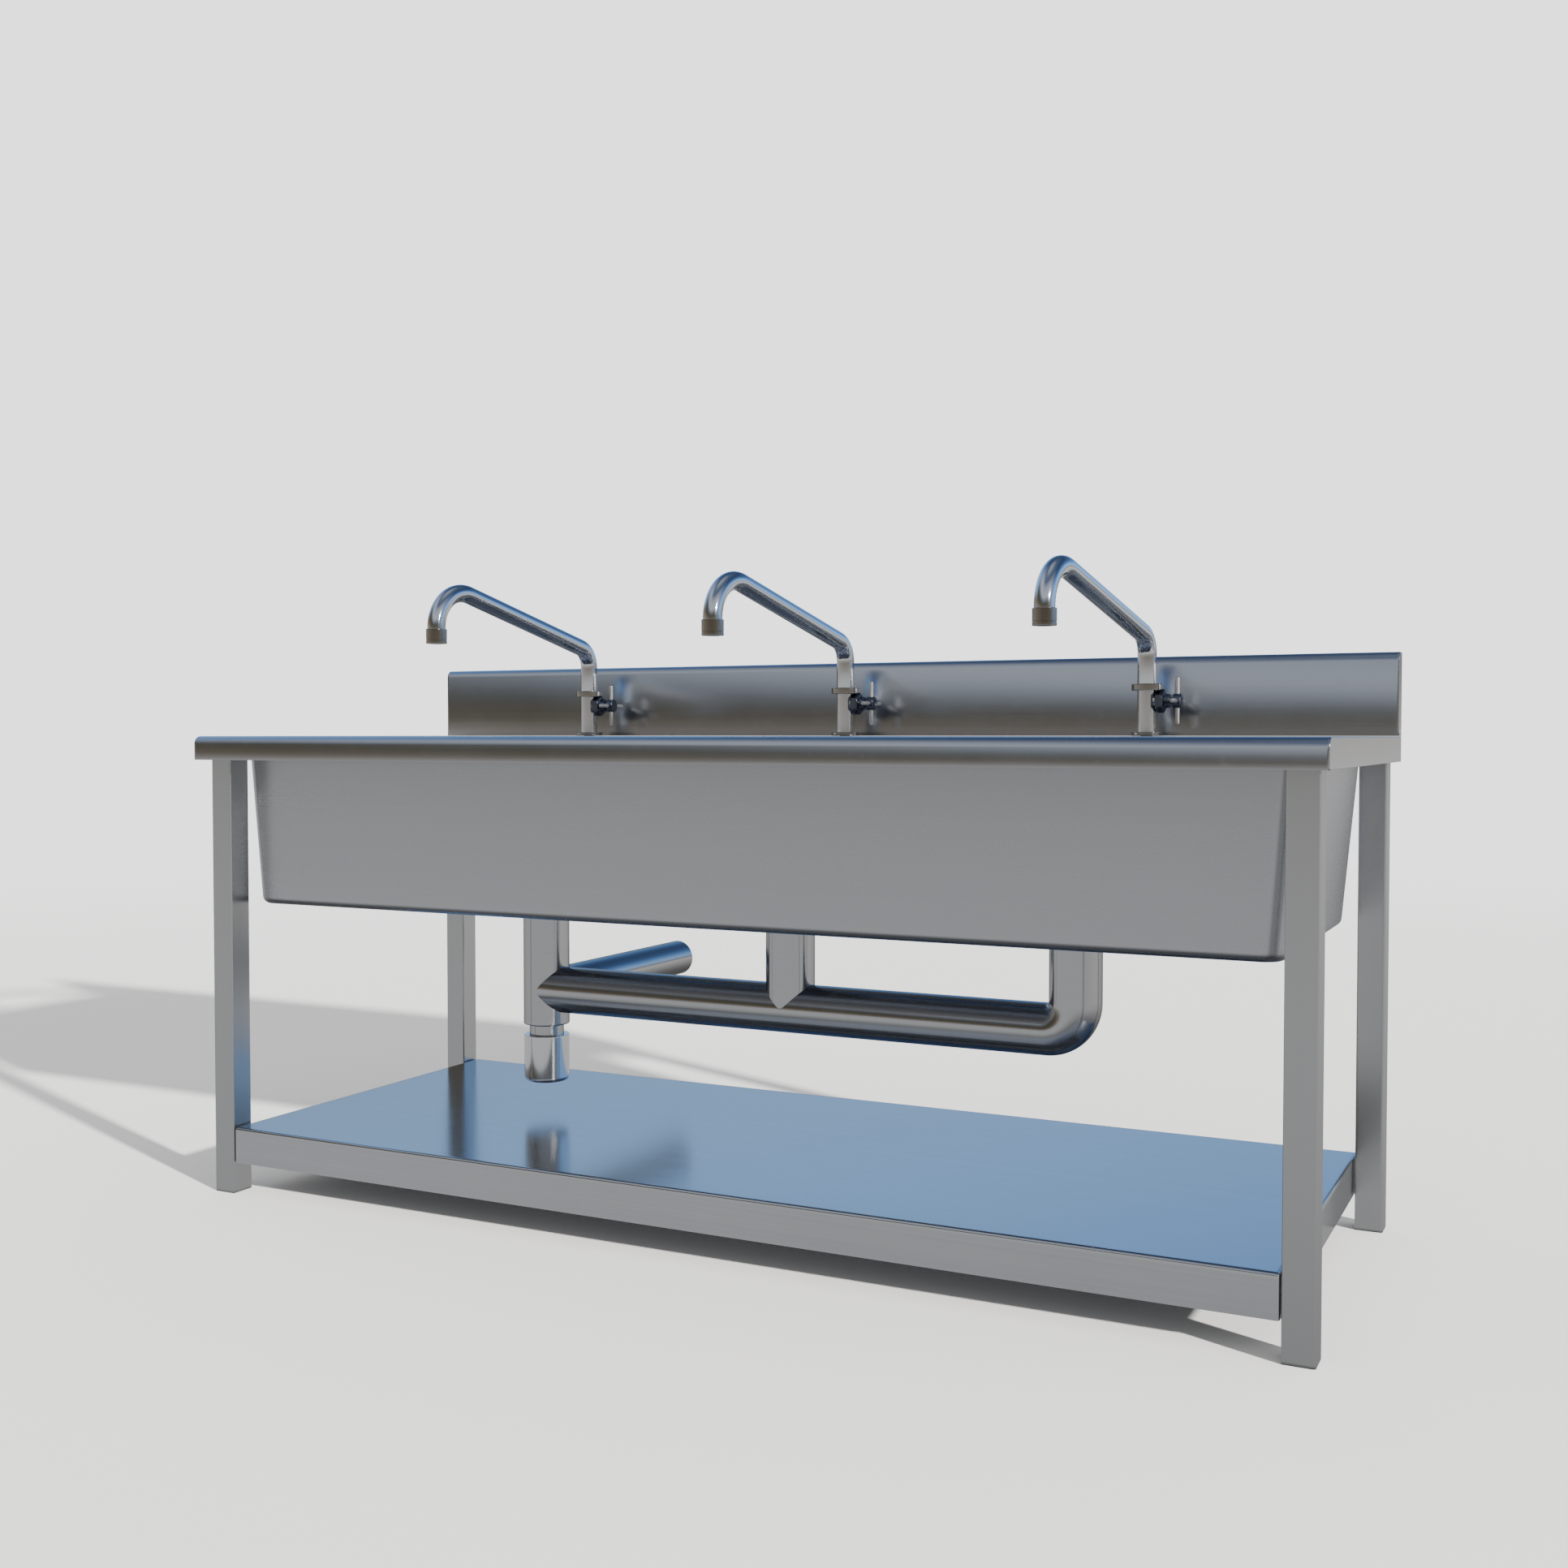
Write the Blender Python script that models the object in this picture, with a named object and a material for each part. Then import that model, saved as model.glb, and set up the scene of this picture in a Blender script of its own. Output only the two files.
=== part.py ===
"""Three compartment sink: steel worktop with one long tub, two dividers, three swivel taps and joined waste pipes.

Metres, +Z up. X runs along the sink, the front is at -Y. The origin is on the floor, in the middle of the whole
sink's footprint, outlet pipe included.
"""
import math

import bmesh
import bpy
from mathutils import Matrix, Vector

# ---------------------------------------------------------------- driving dimensions
CLEARANCE = 0.0003          # gap between pieces that touch
SHEET = 0.002               # sheet steel of worktop, splash, tub and shelf

TOP_LENGTH = 2.018
TOP_DEPTH = 0.782
DECK_HEIGHT = 0.85
APRON_HEIGHT = 0.0438
NOSE_RADIUS = 0.015

SPLASH_HEIGHT = 0.1446
SPLASH_THICKNESS = 0.0341
SPLASH_NOSE_RADIUS = 0.015

LEG_SIZE = 0.0465
LEG_WALL = 0.0015
LEG_CORNER_RADIUS = 0.003
LEG_INSET_END = 0.0148      # leg face behind the end of the worktop
LEG_INSET_FRONT = 0.0272
LEG_INSET_BACK = 0.0153
LEG_FIT = 0.0005            # play of the socket stub and the floor plug in the leg
SOCKET_PLATE = 0.003
SOCKET_STUB_LENGTH = 0.060
PLUG_LENGTH = 0.030

SHELF_TOP = 0.1238
SHELF_FLANGE = 0.0655
SHELF_BEND = 0.005
SHELF_CORNER_RADIUS = 0.004
SHELF_CROWN_RADIUS = 0.0008 # corners of the shelf's flat top
SHELF_LEG_GAP = 0.002
STIFFENER_WIDTH = 0.120
STIFFENER_BASE = 0.080
STIFFENER_DEPTH = 0.030

TUB_END_MARGIN = 0.041      # outside of the tub at its rim, in from the end of the worktop
TUB_REAR_LEDGE = 0.1518     # outside of the tub at its rim, in front of the back edge
TUB_LEG_GAP = 0.0005        # rim behind the front legs
TUB_END_TAPER = 0.0292      # each end draws in by this much on the way down
TUB_SIDE_TAPER = 0.002
TUB_DEPTH = 0.3135          # from the worktop down to the outside of the floor
TUB_CORNER_RADIUS = 0.035
TUB_COVE_RADIUS = 0.013
RIM_WIDTH = 0.003           # flange welded under the worktop

DIVIDER_THICKNESS = 0.020
DIVIDER_DROP = 0.012        # top of a divider below the worktop
DIVIDER_TOP_RADIUS = 0.006

COMPARTMENTS = 3
DRAIN_SHIFT = 0.1160667     # outer drains stand this much nearer the centre one than their compartments do
DRAIN_BEHIND_MIDDLE = 0.0907    # drain axis behind the middle of the tub
DRAIN_STEP = 0.0008         # drain body within the waste pipe's outside
DRAIN_FLANGE_WIDTH = 0.013  # flange beyond the drain body
DRAIN_FLANGE_THICKNESS = 0.002
DRAIN_FLANGE_BEVEL = 0.002
DRAIN_WALL = 0.0035
DRAIN_LEDGE = 0.0045        # seat of the basket, inside the drain body
DRAIN_BODY_LENGTH = 0.034
LOCKNUT_WIDTH = 0.012       # nut beyond the drain body
LOCKNUT_THICKNESS = 0.012
TAIL_LENGTH = 0.025
TAIL_FIT = 0.0004           # play of the drain's tail in the waste pipe
BASKET_FIT = 0.0012
BASKET_WALL = 0.0015
BASKET_HOLE_RADIUS = 0.0042
BASKET_HOLES = 6
BASKET_HOLE_CIRCLE = 0.55   # share of the basket's inside radius

PIPE_RADIUS = 0.0448
PIPE_WALL = 0.002
PIPE_ELBOW_GAP = 0.004      # radius at the inside of the elbow
OUTLET_STEP = 0.0078        # outlet's outside within the waste pipe's
OUTLET_BEHIND = 0.175       # outlet stands out behind the worktop
NECK_STEP = 0.0113          # neck of the trap within the waste pipe's outside
CUP_STEP = 0.001
SPACE_BELOW_TUB = 0.4127    # from the shelf to the tub; the four drops below are measured within it
MANIFOLD_DROP = 0.1819
PIPE_END_DROP = 0.2503
CUP_TOP_DROP = 0.271
CUP_BOTTOM_DROP = 0.3621
CUP_EDGE_RADIUS = 0.009
CUP_GRIP = 0.012            # cup overlaps the neck

TAP_SHIFT = 0.0601667       # outer taps stand this much nearer the centre one than their compartments do
TAP_FROM_BACK = 0.0973      # tap axis in front of the back edge
TAP_BODY_RADIUS = 0.0169
TAP_BORE_RADIUS = 0.008
RING_BEVEL = 0.0012
BASE_FLANGE_WIDTH = 0.0106  # plate beyond the column
BASE_FLANGE_HEIGHT = 0.0075
SHANK_RADIUS = 0.0105
SHANK_LENGTH = 0.055
SHANK_NUT_RADIUS = 0.0155
SHANK_NUT_THICKNESS = 0.009
TAP_HOLE_FIT = 0.001
COLLAR_WIDTH = 0.0101       # collar beyond the column
COLLAR_BOTTOM = 0.0812      # above the worktop
COLLAR_HEIGHT = 0.0120
NIPPLE_FIT = 0.0007         # play of the nipple in the spout
NIPPLE_LENGTH = 0.018
SPOUT_WALL = 0.0044
SPOUT_BEND_HEIGHT = 0.1763
SPOUT_BEND_RADIUS = 0.040
SPOUT_TOP = 0.288           # highest point above the worktop
SPOUT_REACH = 0.4476
SPOUT_ARC_RADIUS = 0.070
SPOUT_REST_SWING = math.radians(-6.1)   # turned from straight ahead towards -X
AERATOR_WIDTH = 0.0025      # aerator beyond the spout
AERATOR_TOP = 0.2001
AERATOR_HEIGHT = 0.0277
AERATOR_LIP = 0.012
AERATOR_BEVEL = 0.0008

VALVE_BELOW_COLLAR = 0.0005 # bonnet's top flat below the collar
BONNET_GAP = 0.0009         # bonnet beyond the column
BOSS_RADIUS = 0.0115
BOSS_ROOT = 0.0104          # boss starts inside the column's wall
BOSS_DEPTH = 0.0062         # boss inside the bonnet
BONNET_FLATS = 0.0365
BONNET_HEX_LENGTH = 0.0145
BONNET_CHAMFER = 0.0015
BONNET_END_SHARE = 0.93     # size of the hexagon's ends against its middle
BONNET_NECK_RADIUS = 0.0125
BONNET_TIP_RADIUS = 0.0115
BONNET_LENGTH = 0.0247
SPINDLE_RADIUS = 0.0050
SPINDLE_DEPTH = 0.0165      # spindle inside the bonnet's tip
HUB_RADIUS = 0.0130
HUB_GAP = 0.0045            # handle beyond the bonnet
HUB_LENGTH = 0.0150
HUB_SOCKET_DEPTH = 0.0035
ARM_RADIUS = 0.0040
ARM_SPAN = 0.0838

ROUND_STEPS = 16            # facets round a pipe
SMALL_STEPS = 12            # facets round small fittings and spouts; six sides divide it
HOLE_STEPS = 8              # facets round a basket hole
SHARP_ANGLE = math.radians(32)

# ---------------------------------------------------------------- places worked out from the sizes
FRONT_Y = -(TOP_DEPTH + OUTLET_BEHIND) / 2
BACK_Y = FRONT_Y + TOP_DEPTH
OUTLET_END_Y = BACK_Y + OUTLET_BEHIND
END_X = TOP_LENGTH / 2
APRON_BOTTOM = DECK_HEIGHT - APRON_HEIGHT
DECK_UNDERSIDE = DECK_HEIGHT - SHEET
LEG_OUTER_X = END_X - LEG_INSET_END
LEG_FRONT_Y = FRONT_Y + LEG_INSET_FRONT
LEG_BACK_Y = BACK_Y - LEG_INSET_BACK
LEG_BORE = LEG_SIZE - 2 * LEG_WALL
TUB_TOP = DECK_UNDERSIDE - CLEARANCE
TUB_BOTTOM = DECK_HEIGHT - TUB_DEPTH
TUB_LENGTH_TOP = TOP_LENGTH - 2 * TUB_END_MARGIN
TUB_LENGTH_BOTTOM = TUB_LENGTH_TOP - 2 * TUB_END_TAPER
TUB_FRONT_Y = LEG_FRONT_Y + LEG_SIZE + TUB_LEG_GAP + RIM_WIDTH
TUB_DEPTH_TOP = BACK_Y - TUB_REAR_LEDGE - TUB_FRONT_Y
TUB_DEPTH_BOTTOM = TUB_DEPTH_TOP - 2 * TUB_SIDE_TAPER
TUB_CENTRE_Y = TUB_FRONT_Y + TUB_DEPTH_TOP / 2
FLOOR_TOP = TUB_BOTTOM + SHEET
INNER_LENGTH = TUB_LENGTH_TOP - 2 * SHEET
COMPARTMENT_LENGTH = (INNER_LENGTH - (COMPARTMENTS - 1) * DIVIDER_THICKNESS) / COMPARTMENTS
COMPARTMENT_PITCH = COMPARTMENT_LENGTH + DIVIDER_THICKNESS
DRAIN_PITCH = COMPARTMENT_PITCH - DRAIN_SHIFT
DRAIN_Y = TUB_CENTRE_Y + DRAIN_BEHIND_MIDDLE
DRAIN_BODY_RADIUS = PIPE_RADIUS - DRAIN_STEP
DRAIN_FLANGE_RADIUS = DRAIN_BODY_RADIUS + DRAIN_FLANGE_WIDTH
LOCKNUT_RADIUS = DRAIN_BODY_RADIUS + LOCKNUT_WIDTH
PIPE_BORE = PIPE_RADIUS - PIPE_WALL
TAIL_RADIUS = PIPE_BORE - TAIL_FIT
DRAIN_BOTTOM = FLOOR_TOP + CLEARANCE - DRAIN_BODY_LENGTH
PIPE_TOP = DRAIN_BOTTOM - CLEARANCE
OUTLET_RADIUS = PIPE_RADIUS - OUTLET_STEP
NECK_RADIUS = PIPE_RADIUS - NECK_STEP
CUP_RADIUS = PIPE_RADIUS - CUP_STEP
DROP_SCALE = (TUB_BOTTOM - SHELF_TOP) / SPACE_BELOW_TUB
MANIFOLD_HEIGHT = TUB_BOTTOM - MANIFOLD_DROP * DROP_SCALE
PIPE_END = TUB_BOTTOM - PIPE_END_DROP * DROP_SCALE
CUP_TOP = TUB_BOTTOM - CUP_TOP_DROP * DROP_SCALE
CUP_BOTTOM = TUB_BOTTOM - CUP_BOTTOM_DROP * DROP_SCALE
TAP_PITCH = COMPARTMENT_PITCH - TAP_SHIFT
TAP_Y = BACK_Y - TAP_FROM_BACK
SPOUT_BORE = TAP_BODY_RADIUS - SPOUT_WALL
NIPPLE_RADIUS = SPOUT_BORE - NIPPLE_FIT
BASE_FLANGE_RADIUS = TAP_BODY_RADIUS + BASE_FLANGE_WIDTH
COLLAR_RADIUS = TAP_BODY_RADIUS + COLLAR_WIDTH
AERATOR_RADIUS = TAP_BODY_RADIUS + AERATOR_WIDTH
VALVE_HEIGHT = COLLAR_BOTTOM - BONNET_FLATS / 2 - VALVE_BELOW_COLLAR    # above the worktop
BONNET_START = TAP_BODY_RADIUS + BONNET_GAP
BONNET_END = BONNET_START + BONNET_LENGTH
BOSS_REACH = BONNET_START + BOSS_DEPTH
SPINDLE_START = BONNET_END - SPINDLE_DEPTH
HUB_START = BONNET_END + HUB_GAP
TAP_NAMES = ("left", "centre", "right")
COLUMN_X = (-1, 0, 1)

STEEL = (0.55, 0.56, 0.57)
CHROME = (0.78, 0.79, 0.80)
NICKEL = (0.42, 0.40, 0.37)
SMOKED = (0.10, 0.11, 0.13)
BLACK = (0.03, 0.03, 0.032)


# ---------------------------------------------------------------- helpers
def bore_round(radius, steps=ROUND_STEPS, play=CLEARANCE):
    """Radius of a faceted bore that stays clear of a round piece at every angle."""
    return (radius + play) / math.cos(math.pi / steps)


def clear_scene():
    """Remove whatever the open scene holds."""
    for item in list(bpy.data.objects):
        bpy.data.objects.remove(item, do_unlink=True)


def material_for(name, colour, roughness, metallic):
    """Give each sub-part a material of its own."""
    material = bpy.data.materials.new(name + "_finish")
    material.use_nodes = True
    shader = material.node_tree.nodes["Principled BSDF"]
    shader.inputs["Base Color"].default_value = (*colour, 1.0)
    shader.inputs["Roughness"].default_value = roughness
    shader.inputs["Metallic"].default_value = metallic
    material.diffuse_color = (*colour, 1.0)
    return material


def add_object(name, mesh, colour=STEEL, roughness=0.35, metallic=1.0, parent=None, location=(0, 0, 0)):
    """Link a mesh as one named sub-part with its own material."""
    item = bpy.data.objects.new(name, mesh)
    bpy.context.scene.collection.objects.link(item)
    item.location = location
    if parent is not None:
        item.parent = parent
    mesh.materials.append(material_for(name, colour, roughness, metallic))
    mesh.shade_smooth()
    mesh.set_sharp_from_angle(angle=SHARP_ANGLE)
    return item


def mesh_from(bm, name):
    """Turn a bmesh into a mesh with its faces pointing out."""
    bmesh.ops.recalc_face_normals(bm, faces=bm.faces)
    mesh = bpy.data.meshes.new(name)
    bm.to_mesh(mesh)
    bm.free()
    return mesh


def loft(rings, name, close_ends=True, loop=False):
    """Join rings of equally many points; cap the first and the last, or join them when the rings make a loop."""
    bm = bmesh.new()
    rows = [[bm.verts.new(point) for point in ring] for ring in rings]
    count = len(rows[0])
    pairs = list(zip(rows, rows[1:]))
    if loop:
        pairs.append((rows[-1], rows[0]))
    for lower, upper in pairs:
        for index in range(count):
            after = (index + 1) % count
            bm.faces.new((lower[index], lower[after], upper[after], upper[index]))
    if close_ends and not loop:
        bm.faces.new(list(reversed(rows[0])))
        bm.faces.new(rows[-1])
    return mesh_from(bm, name)


def circle(radius, z, steps, centre=(0.0, 0.0)):
    """Points round a level circle."""
    turn = 2 * math.pi / steps
    return [
        Vector((centre[0] + radius * math.cos(k * turn), centre[1] + radius * math.sin(k * turn), z))
        for k in range(steps)
    ]


def turned(profile, name, steps=ROUND_STEPS, closed=True):
    """Revolve (radius, height) points about Z; a closed profile makes a ring, an open one starts and ends in caps."""
    rings = [circle(radius, height, steps) for radius, height in profile]
    return loft(rings, name, close_ends=not closed, loop=closed)


def rounded_rectangle(half_x, half_y, radius, z, centre=(0.0, 0.0), corner_steps=4):
    """Points round a level rectangle with rounded corners."""
    points = []
    for quarter, (sign_x, sign_y) in enumerate(((1, 1), (-1, 1), (-1, -1), (1, -1))):
        middle_x = centre[0] + sign_x * (half_x - radius)
        middle_y = centre[1] + sign_y * (half_y - radius)
        for step in range(corner_steps + 1):
            angle = math.pi / 2 * (quarter + step / corner_steps)
            points.append(Vector((middle_x + radius * math.cos(angle), middle_y + radius * math.sin(angle), z)))
    return points


def extruded(outline, x_from, x_to, name):
    """Extrude a (y, z) outline along X."""
    rings = [[Vector((x, y, z)) for y, z in outline] for x in (x_from, x_to)]
    return loft(rings, name)


def arc_points(centre, radius, angle_from, angle_to, steps):
    """Points of an arc in a plane, both ends included."""
    return [
        (
            centre[0] + radius * math.cos(angle_from + (angle_to - angle_from) * k / steps),
            centre[1] + radius * math.sin(angle_from + (angle_to - angle_from) * k / steps),
        )
        for k in range(steps + 1)
    ]


def tube_along(path, outer, inner, name, steps=ROUND_STEPS):
    """Carry an annulus along a path in the XZ plane; both ends stay open."""
    tangents = []
    for index, point in enumerate(path):
        before = path[max(index - 1, 0)]
        after = path[min(index + 1, len(path) - 1)]
        tangents.append((Vector(after) - Vector(before)).normalized())
    side = Vector((0, 1, 0))
    turn = 2 * math.pi / steps

    def ring(index, radius):
        across = side.cross(tangents[index])
        middle = Vector(path[index])
        stretch = 1.0
        if 0 < index < len(path) - 1:
            first = (middle - Vector(path[index - 1])).normalized()
            stretch = 1.0 / first.dot(tangents[index])
        return [
            middle + side * radius * math.cos(k * turn) + across * radius * stretch * math.sin(k * turn)
            for k in range(steps)
        ]

    order = list(range(len(path)))
    rings = [ring(index, outer) for index in order]
    rings += [ring(index, inner) for index in reversed(order)]
    return loft(rings, name, loop=True)


def cutter(mesh, location=(0, 0, 0)):
    """A shape that only cuts; it is not a sub-part."""
    item = bpy.data.objects.new(mesh.name, mesh)
    bpy.context.scene.collection.objects.link(item)
    item.location = location
    item.hide_render = True
    item.display_type = "WIRE"
    return item


def combine(item, other, operation="DIFFERENCE"):
    """Cut or join by a guide shape, live on the object."""
    step = item.modifiers.new(operation.lower(), "BOOLEAN")
    step.operation = operation
    step.solver = "EXACT"
    step.object = other


def solid_rod(radius, start, end, name, steps=ROUND_STEPS):
    """A plain rod between two points."""
    start = Vector(start)
    axis = Vector(end) - start
    turn = axis.normalized().to_track_quat("Z", "X").to_matrix().to_4x4()
    place = Matrix.Translation(start) @ turn
    rings = [[place @ point for point in circle(radius, height, steps)] for height in (0.0, axis.length)]
    return loft(rings, name)


def empty_at(name, location, rotation=(0, 0, 0)):
    """A place that pieces hang from, on their joint's axis."""
    item = bpy.data.objects.new(name, None)
    bpy.context.scene.collection.objects.link(item)
    item.location = location
    item.rotation_euler = rotation
    return item


# ---------------------------------------------------------------- worktop and splash
def nose_outline(front, back, bottom, top, radius):
    """A (y, z) outline whose front top edge is round."""
    points = [(back, bottom), (front, bottom)]
    points += arc_points((front + radius, top - radius), radius, math.pi, math.pi / 2, 5)
    points.append((back, top))
    return points


def tap_places():
    """The middle of each tap on the worktop."""
    return [(column * TAP_PITCH, TAP_Y) for column in COLUMN_X]


def build_worktop():
    """Folded worktop: a skin with a round nose, turned down on all four sides, open below, cut out over the tub."""
    outer = nose_outline(FRONT_Y, BACK_Y, APRON_BOTTOM, DECK_HEIGHT, NOSE_RADIUS)
    top = add_object("worktop", extruded(outer, -END_X, END_X, "worktop"), STEEL, 0.3)
    inner = nose_outline(
        FRONT_Y + SHEET, BACK_Y - SHEET, APRON_BOTTOM - SHEET, DECK_UNDERSIDE, NOSE_RADIUS - SHEET
    )
    combine(top, cutter(extruded(inner, -END_X + SHEET, END_X - SHEET, "worktop_hollow")))
    half_x = TUB_LENGTH_TOP / 2 - SHEET
    half_y = TUB_DEPTH_TOP / 2 - SHEET
    rings = [
        rounded_rectangle(half_x, half_y, TUB_CORNER_RADIUS - SHEET, z, (0, TUB_CENTRE_Y))
        for z in (APRON_BOTTOM - SHEET, DECK_HEIGHT + SHEET)
    ]
    combine(top, cutter(loft(rings, "tub_opening")))
    for number, (x, y) in enumerate(tap_places()):
        hole = solid_rod(
            SHANK_RADIUS + TAP_HOLE_FIT, (x, y, APRON_BOTTOM), (x, y, DECK_HEIGHT + SHEET), f"tap_hole_{number}",
            SMALL_STEPS,
        )
        combine(top, cutter(hole))


def build_backsplash():
    """Upstand folded from sheet, with closed ends, open at its foot."""
    front = BACK_Y - SPLASH_THICKNESS
    bottom = DECK_HEIGHT + CLEARANCE
    top = DECK_HEIGHT + SPLASH_HEIGHT
    outer = nose_outline(front, BACK_Y, bottom, top, SPLASH_NOSE_RADIUS)
    splash = add_object("backsplash", extruded(outer, -END_X, END_X, "backsplash"), STEEL, 0.3)
    inner = nose_outline(
        front + SHEET, BACK_Y - SHEET, bottom - SHEET, top - SHEET, SPLASH_NOSE_RADIUS - SHEET
    )
    combine(splash, cutter(extruded(inner, -END_X + SHEET, END_X - SHEET, "splash_hollow")))


# ---------------------------------------------------------------- tub
def tub_half(z, inset=0.0):
    """Half length and half depth of the tub's wall at a height, less an inset."""
    share = (TUB_TOP - z) / (TUB_TOP - TUB_BOTTOM)
    half_x = TUB_LENGTH_TOP / 2 + (TUB_LENGTH_BOTTOM - TUB_LENGTH_TOP) / 2 * share
    half_y = TUB_DEPTH_TOP / 2 + (TUB_DEPTH_BOTTOM - TUB_DEPTH_TOP) / 2 * share
    return half_x - inset, half_y - inset


def tub_ring(z, wall_z, inset, corner):
    """One level ring of the tub, inset from the wall as it would be at wall_z."""
    half_x, half_y = tub_half(wall_z, inset)
    return rounded_rectangle(half_x, half_y, corner, z, (0, TUB_CENTRE_Y), 4)


def tub_skin(floor_z, inset, cove):
    """Rings of one side of the sheet, from the rim down the wall and round the cove to the floor."""
    start = floor_z + cove
    rings = [tub_ring(TUB_TOP, TUB_TOP, inset, TUB_CORNER_RADIUS - inset)]
    for step in range(4):
        angle = math.pi / 2 * step / 3
        drawn_in = cove * (1 - math.cos(angle))
        z = floor_z + cove * (1 - math.sin(angle))
        rings.append(tub_ring(z, start, inset + drawn_in, TUB_CORNER_RADIUS - inset - drawn_in))
    return rings


def build_tub():
    """One long tub with coved corners, a narrow rim under the worktop and a hole for each drain."""
    outside = tub_skin(TUB_BOTTOM, 0.0, TUB_COVE_RADIUS)
    inside = tub_skin(FLOOR_TOP, SHEET, TUB_COVE_RADIUS - SHEET)
    rim_low = tub_ring(TUB_TOP - SHEET, TUB_TOP, -RIM_WIDTH, TUB_CORNER_RADIUS + RIM_WIDTH)
    rim_high = tub_ring(TUB_TOP, TUB_TOP, -RIM_WIDTH, TUB_CORNER_RADIUS + RIM_WIDTH)
    under_rim = tub_ring(TUB_TOP - SHEET, TUB_TOP - SHEET, 0.0, TUB_CORNER_RADIUS)
    rings = list(reversed(inside)) + [rim_high, rim_low, under_rim] + outside[1:]
    tub = add_object("sink_tub", loft(rings, "sink_tub"), STEEL, 0.35)
    for column, name in zip(COLUMN_X, TAP_NAMES):
        x = column * DRAIN_PITCH
        hole = solid_rod(
            bore_round(DRAIN_BODY_RADIUS), (x, DRAIN_Y, TUB_BOTTOM - SHEET), (x, DRAIN_Y, FLOOR_TOP + SHEET),
            f"drain_hole_{name}",
        )
        combine(tub, cutter(hole))


def divider_outline(inset, bottom):
    """A (y, z) outline across the tub that follows its tapering walls and coves."""
    top = DECK_HEIGHT - DIVIDER_DROP - inset
    wall = SHEET + CLEARANCE + inset
    cove = TUB_COVE_RADIUS
    start = FLOOR_TOP + cove
    radius = DIVIDER_TOP_RADIUS
    half_top = tub_half(top - radius, wall)[1]
    half_cove = tub_half(start, wall)[1]
    low = [(half_cove - cove * (1 - math.cos(a)), bottom + cove * (1 - math.sin(a)))
           for a in (math.pi / 2 * k / 3 for k in range(4))]
    high = [(half_top - radius, top), (half_top, top - radius)]
    right = high + low
    left = [(-y, z) for y, z in reversed(right)]
    return [(TUB_CENTRE_Y + y, z) for y, z in right + left]


def build_dividers():
    """Two double walled dividers, open below, that part the tub into equal compartments."""
    half = DIVIDER_THICKNESS / 2
    for name, sign in (("divider_left", -1), ("divider_right", 1)):
        x = sign * COMPARTMENT_PITCH / 2
        outer = divider_outline(0.0, FLOOR_TOP + CLEARANCE)
        wall = add_object(name, extruded(outer, x - half, x + half, name), STEEL, 0.35)
        inner = divider_outline(SHEET, FLOOR_TOP - SHEET)
        hollow = extruded(inner, x - half + SHEET, x + half - SHEET, name + "_hollow")
        combine(wall, cutter(hollow))


# ---------------------------------------------------------------- legs and shelf
def leg_places():
    """Name and middle of each leg."""
    x = LEG_OUTER_X - LEG_SIZE / 2
    front = LEG_FRONT_Y + LEG_SIZE / 2
    back = LEG_BACK_Y - LEG_SIZE / 2
    return (("front_left", -x, front), ("front_right", x, front), ("rear_left", -x, back), ("rear_right", x, back))


def build_legs():
    """Square tube legs, each on a socket welded under the worktop and closed by a plug at the floor."""
    half = LEG_SIZE / 2
    bore = LEG_BORE / 2
    stub = bore - LEG_FIT
    leg_top = DECK_UNDERSIDE - CLEARANCE - SOCKET_PLATE - CLEARANCE
    bore_corner = LEG_CORNER_RADIUS - LEG_WALL
    for name, x, y in leg_places():
        rings = [
            rounded_rectangle(half, half, LEG_CORNER_RADIUS, 0.0, corner_steps=2),
            rounded_rectangle(half, half, LEG_CORNER_RADIUS, leg_top, corner_steps=2),
            rounded_rectangle(bore, bore, bore_corner, leg_top, corner_steps=2),
            rounded_rectangle(bore, bore, bore_corner, 0.0, corner_steps=2),
        ]
        add_object("leg_" + name, loft(rings, "leg_" + name, loop=True), STEEL, 0.35, location=(x, y, 0))
        plate_low = leg_top + CLEARANCE
        stub_low = plate_low - SOCKET_STUB_LENGTH
        socket = [
            rounded_rectangle(stub - SHEET, stub - SHEET, bore_corner, plate_low, corner_steps=2),
            rounded_rectangle(stub - SHEET, stub - SHEET, bore_corner, stub_low, corner_steps=2),
            rounded_rectangle(stub, stub, bore_corner, stub_low, corner_steps=2),
            rounded_rectangle(stub, stub, bore_corner, plate_low, corner_steps=2),
            rounded_rectangle(half, half, LEG_CORNER_RADIUS, plate_low, corner_steps=2),
            rounded_rectangle(half, half, LEG_CORNER_RADIUS, plate_low + SOCKET_PLATE, corner_steps=2),
        ]
        add_object("leg_socket_" + name, loft(socket, "leg_socket_" + name), STEEL, 0.5, location=(x, y, 0))
        plug = [
            rounded_rectangle(stub, stub, bore_corner, z, corner_steps=2) for z in (0.0, PLUG_LENGTH)
        ]
        add_object("leg_plug_" + name, loft(plug, "leg_plug_" + name), BLACK, 0.6, 0.0, location=(x, y, 0))


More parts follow.
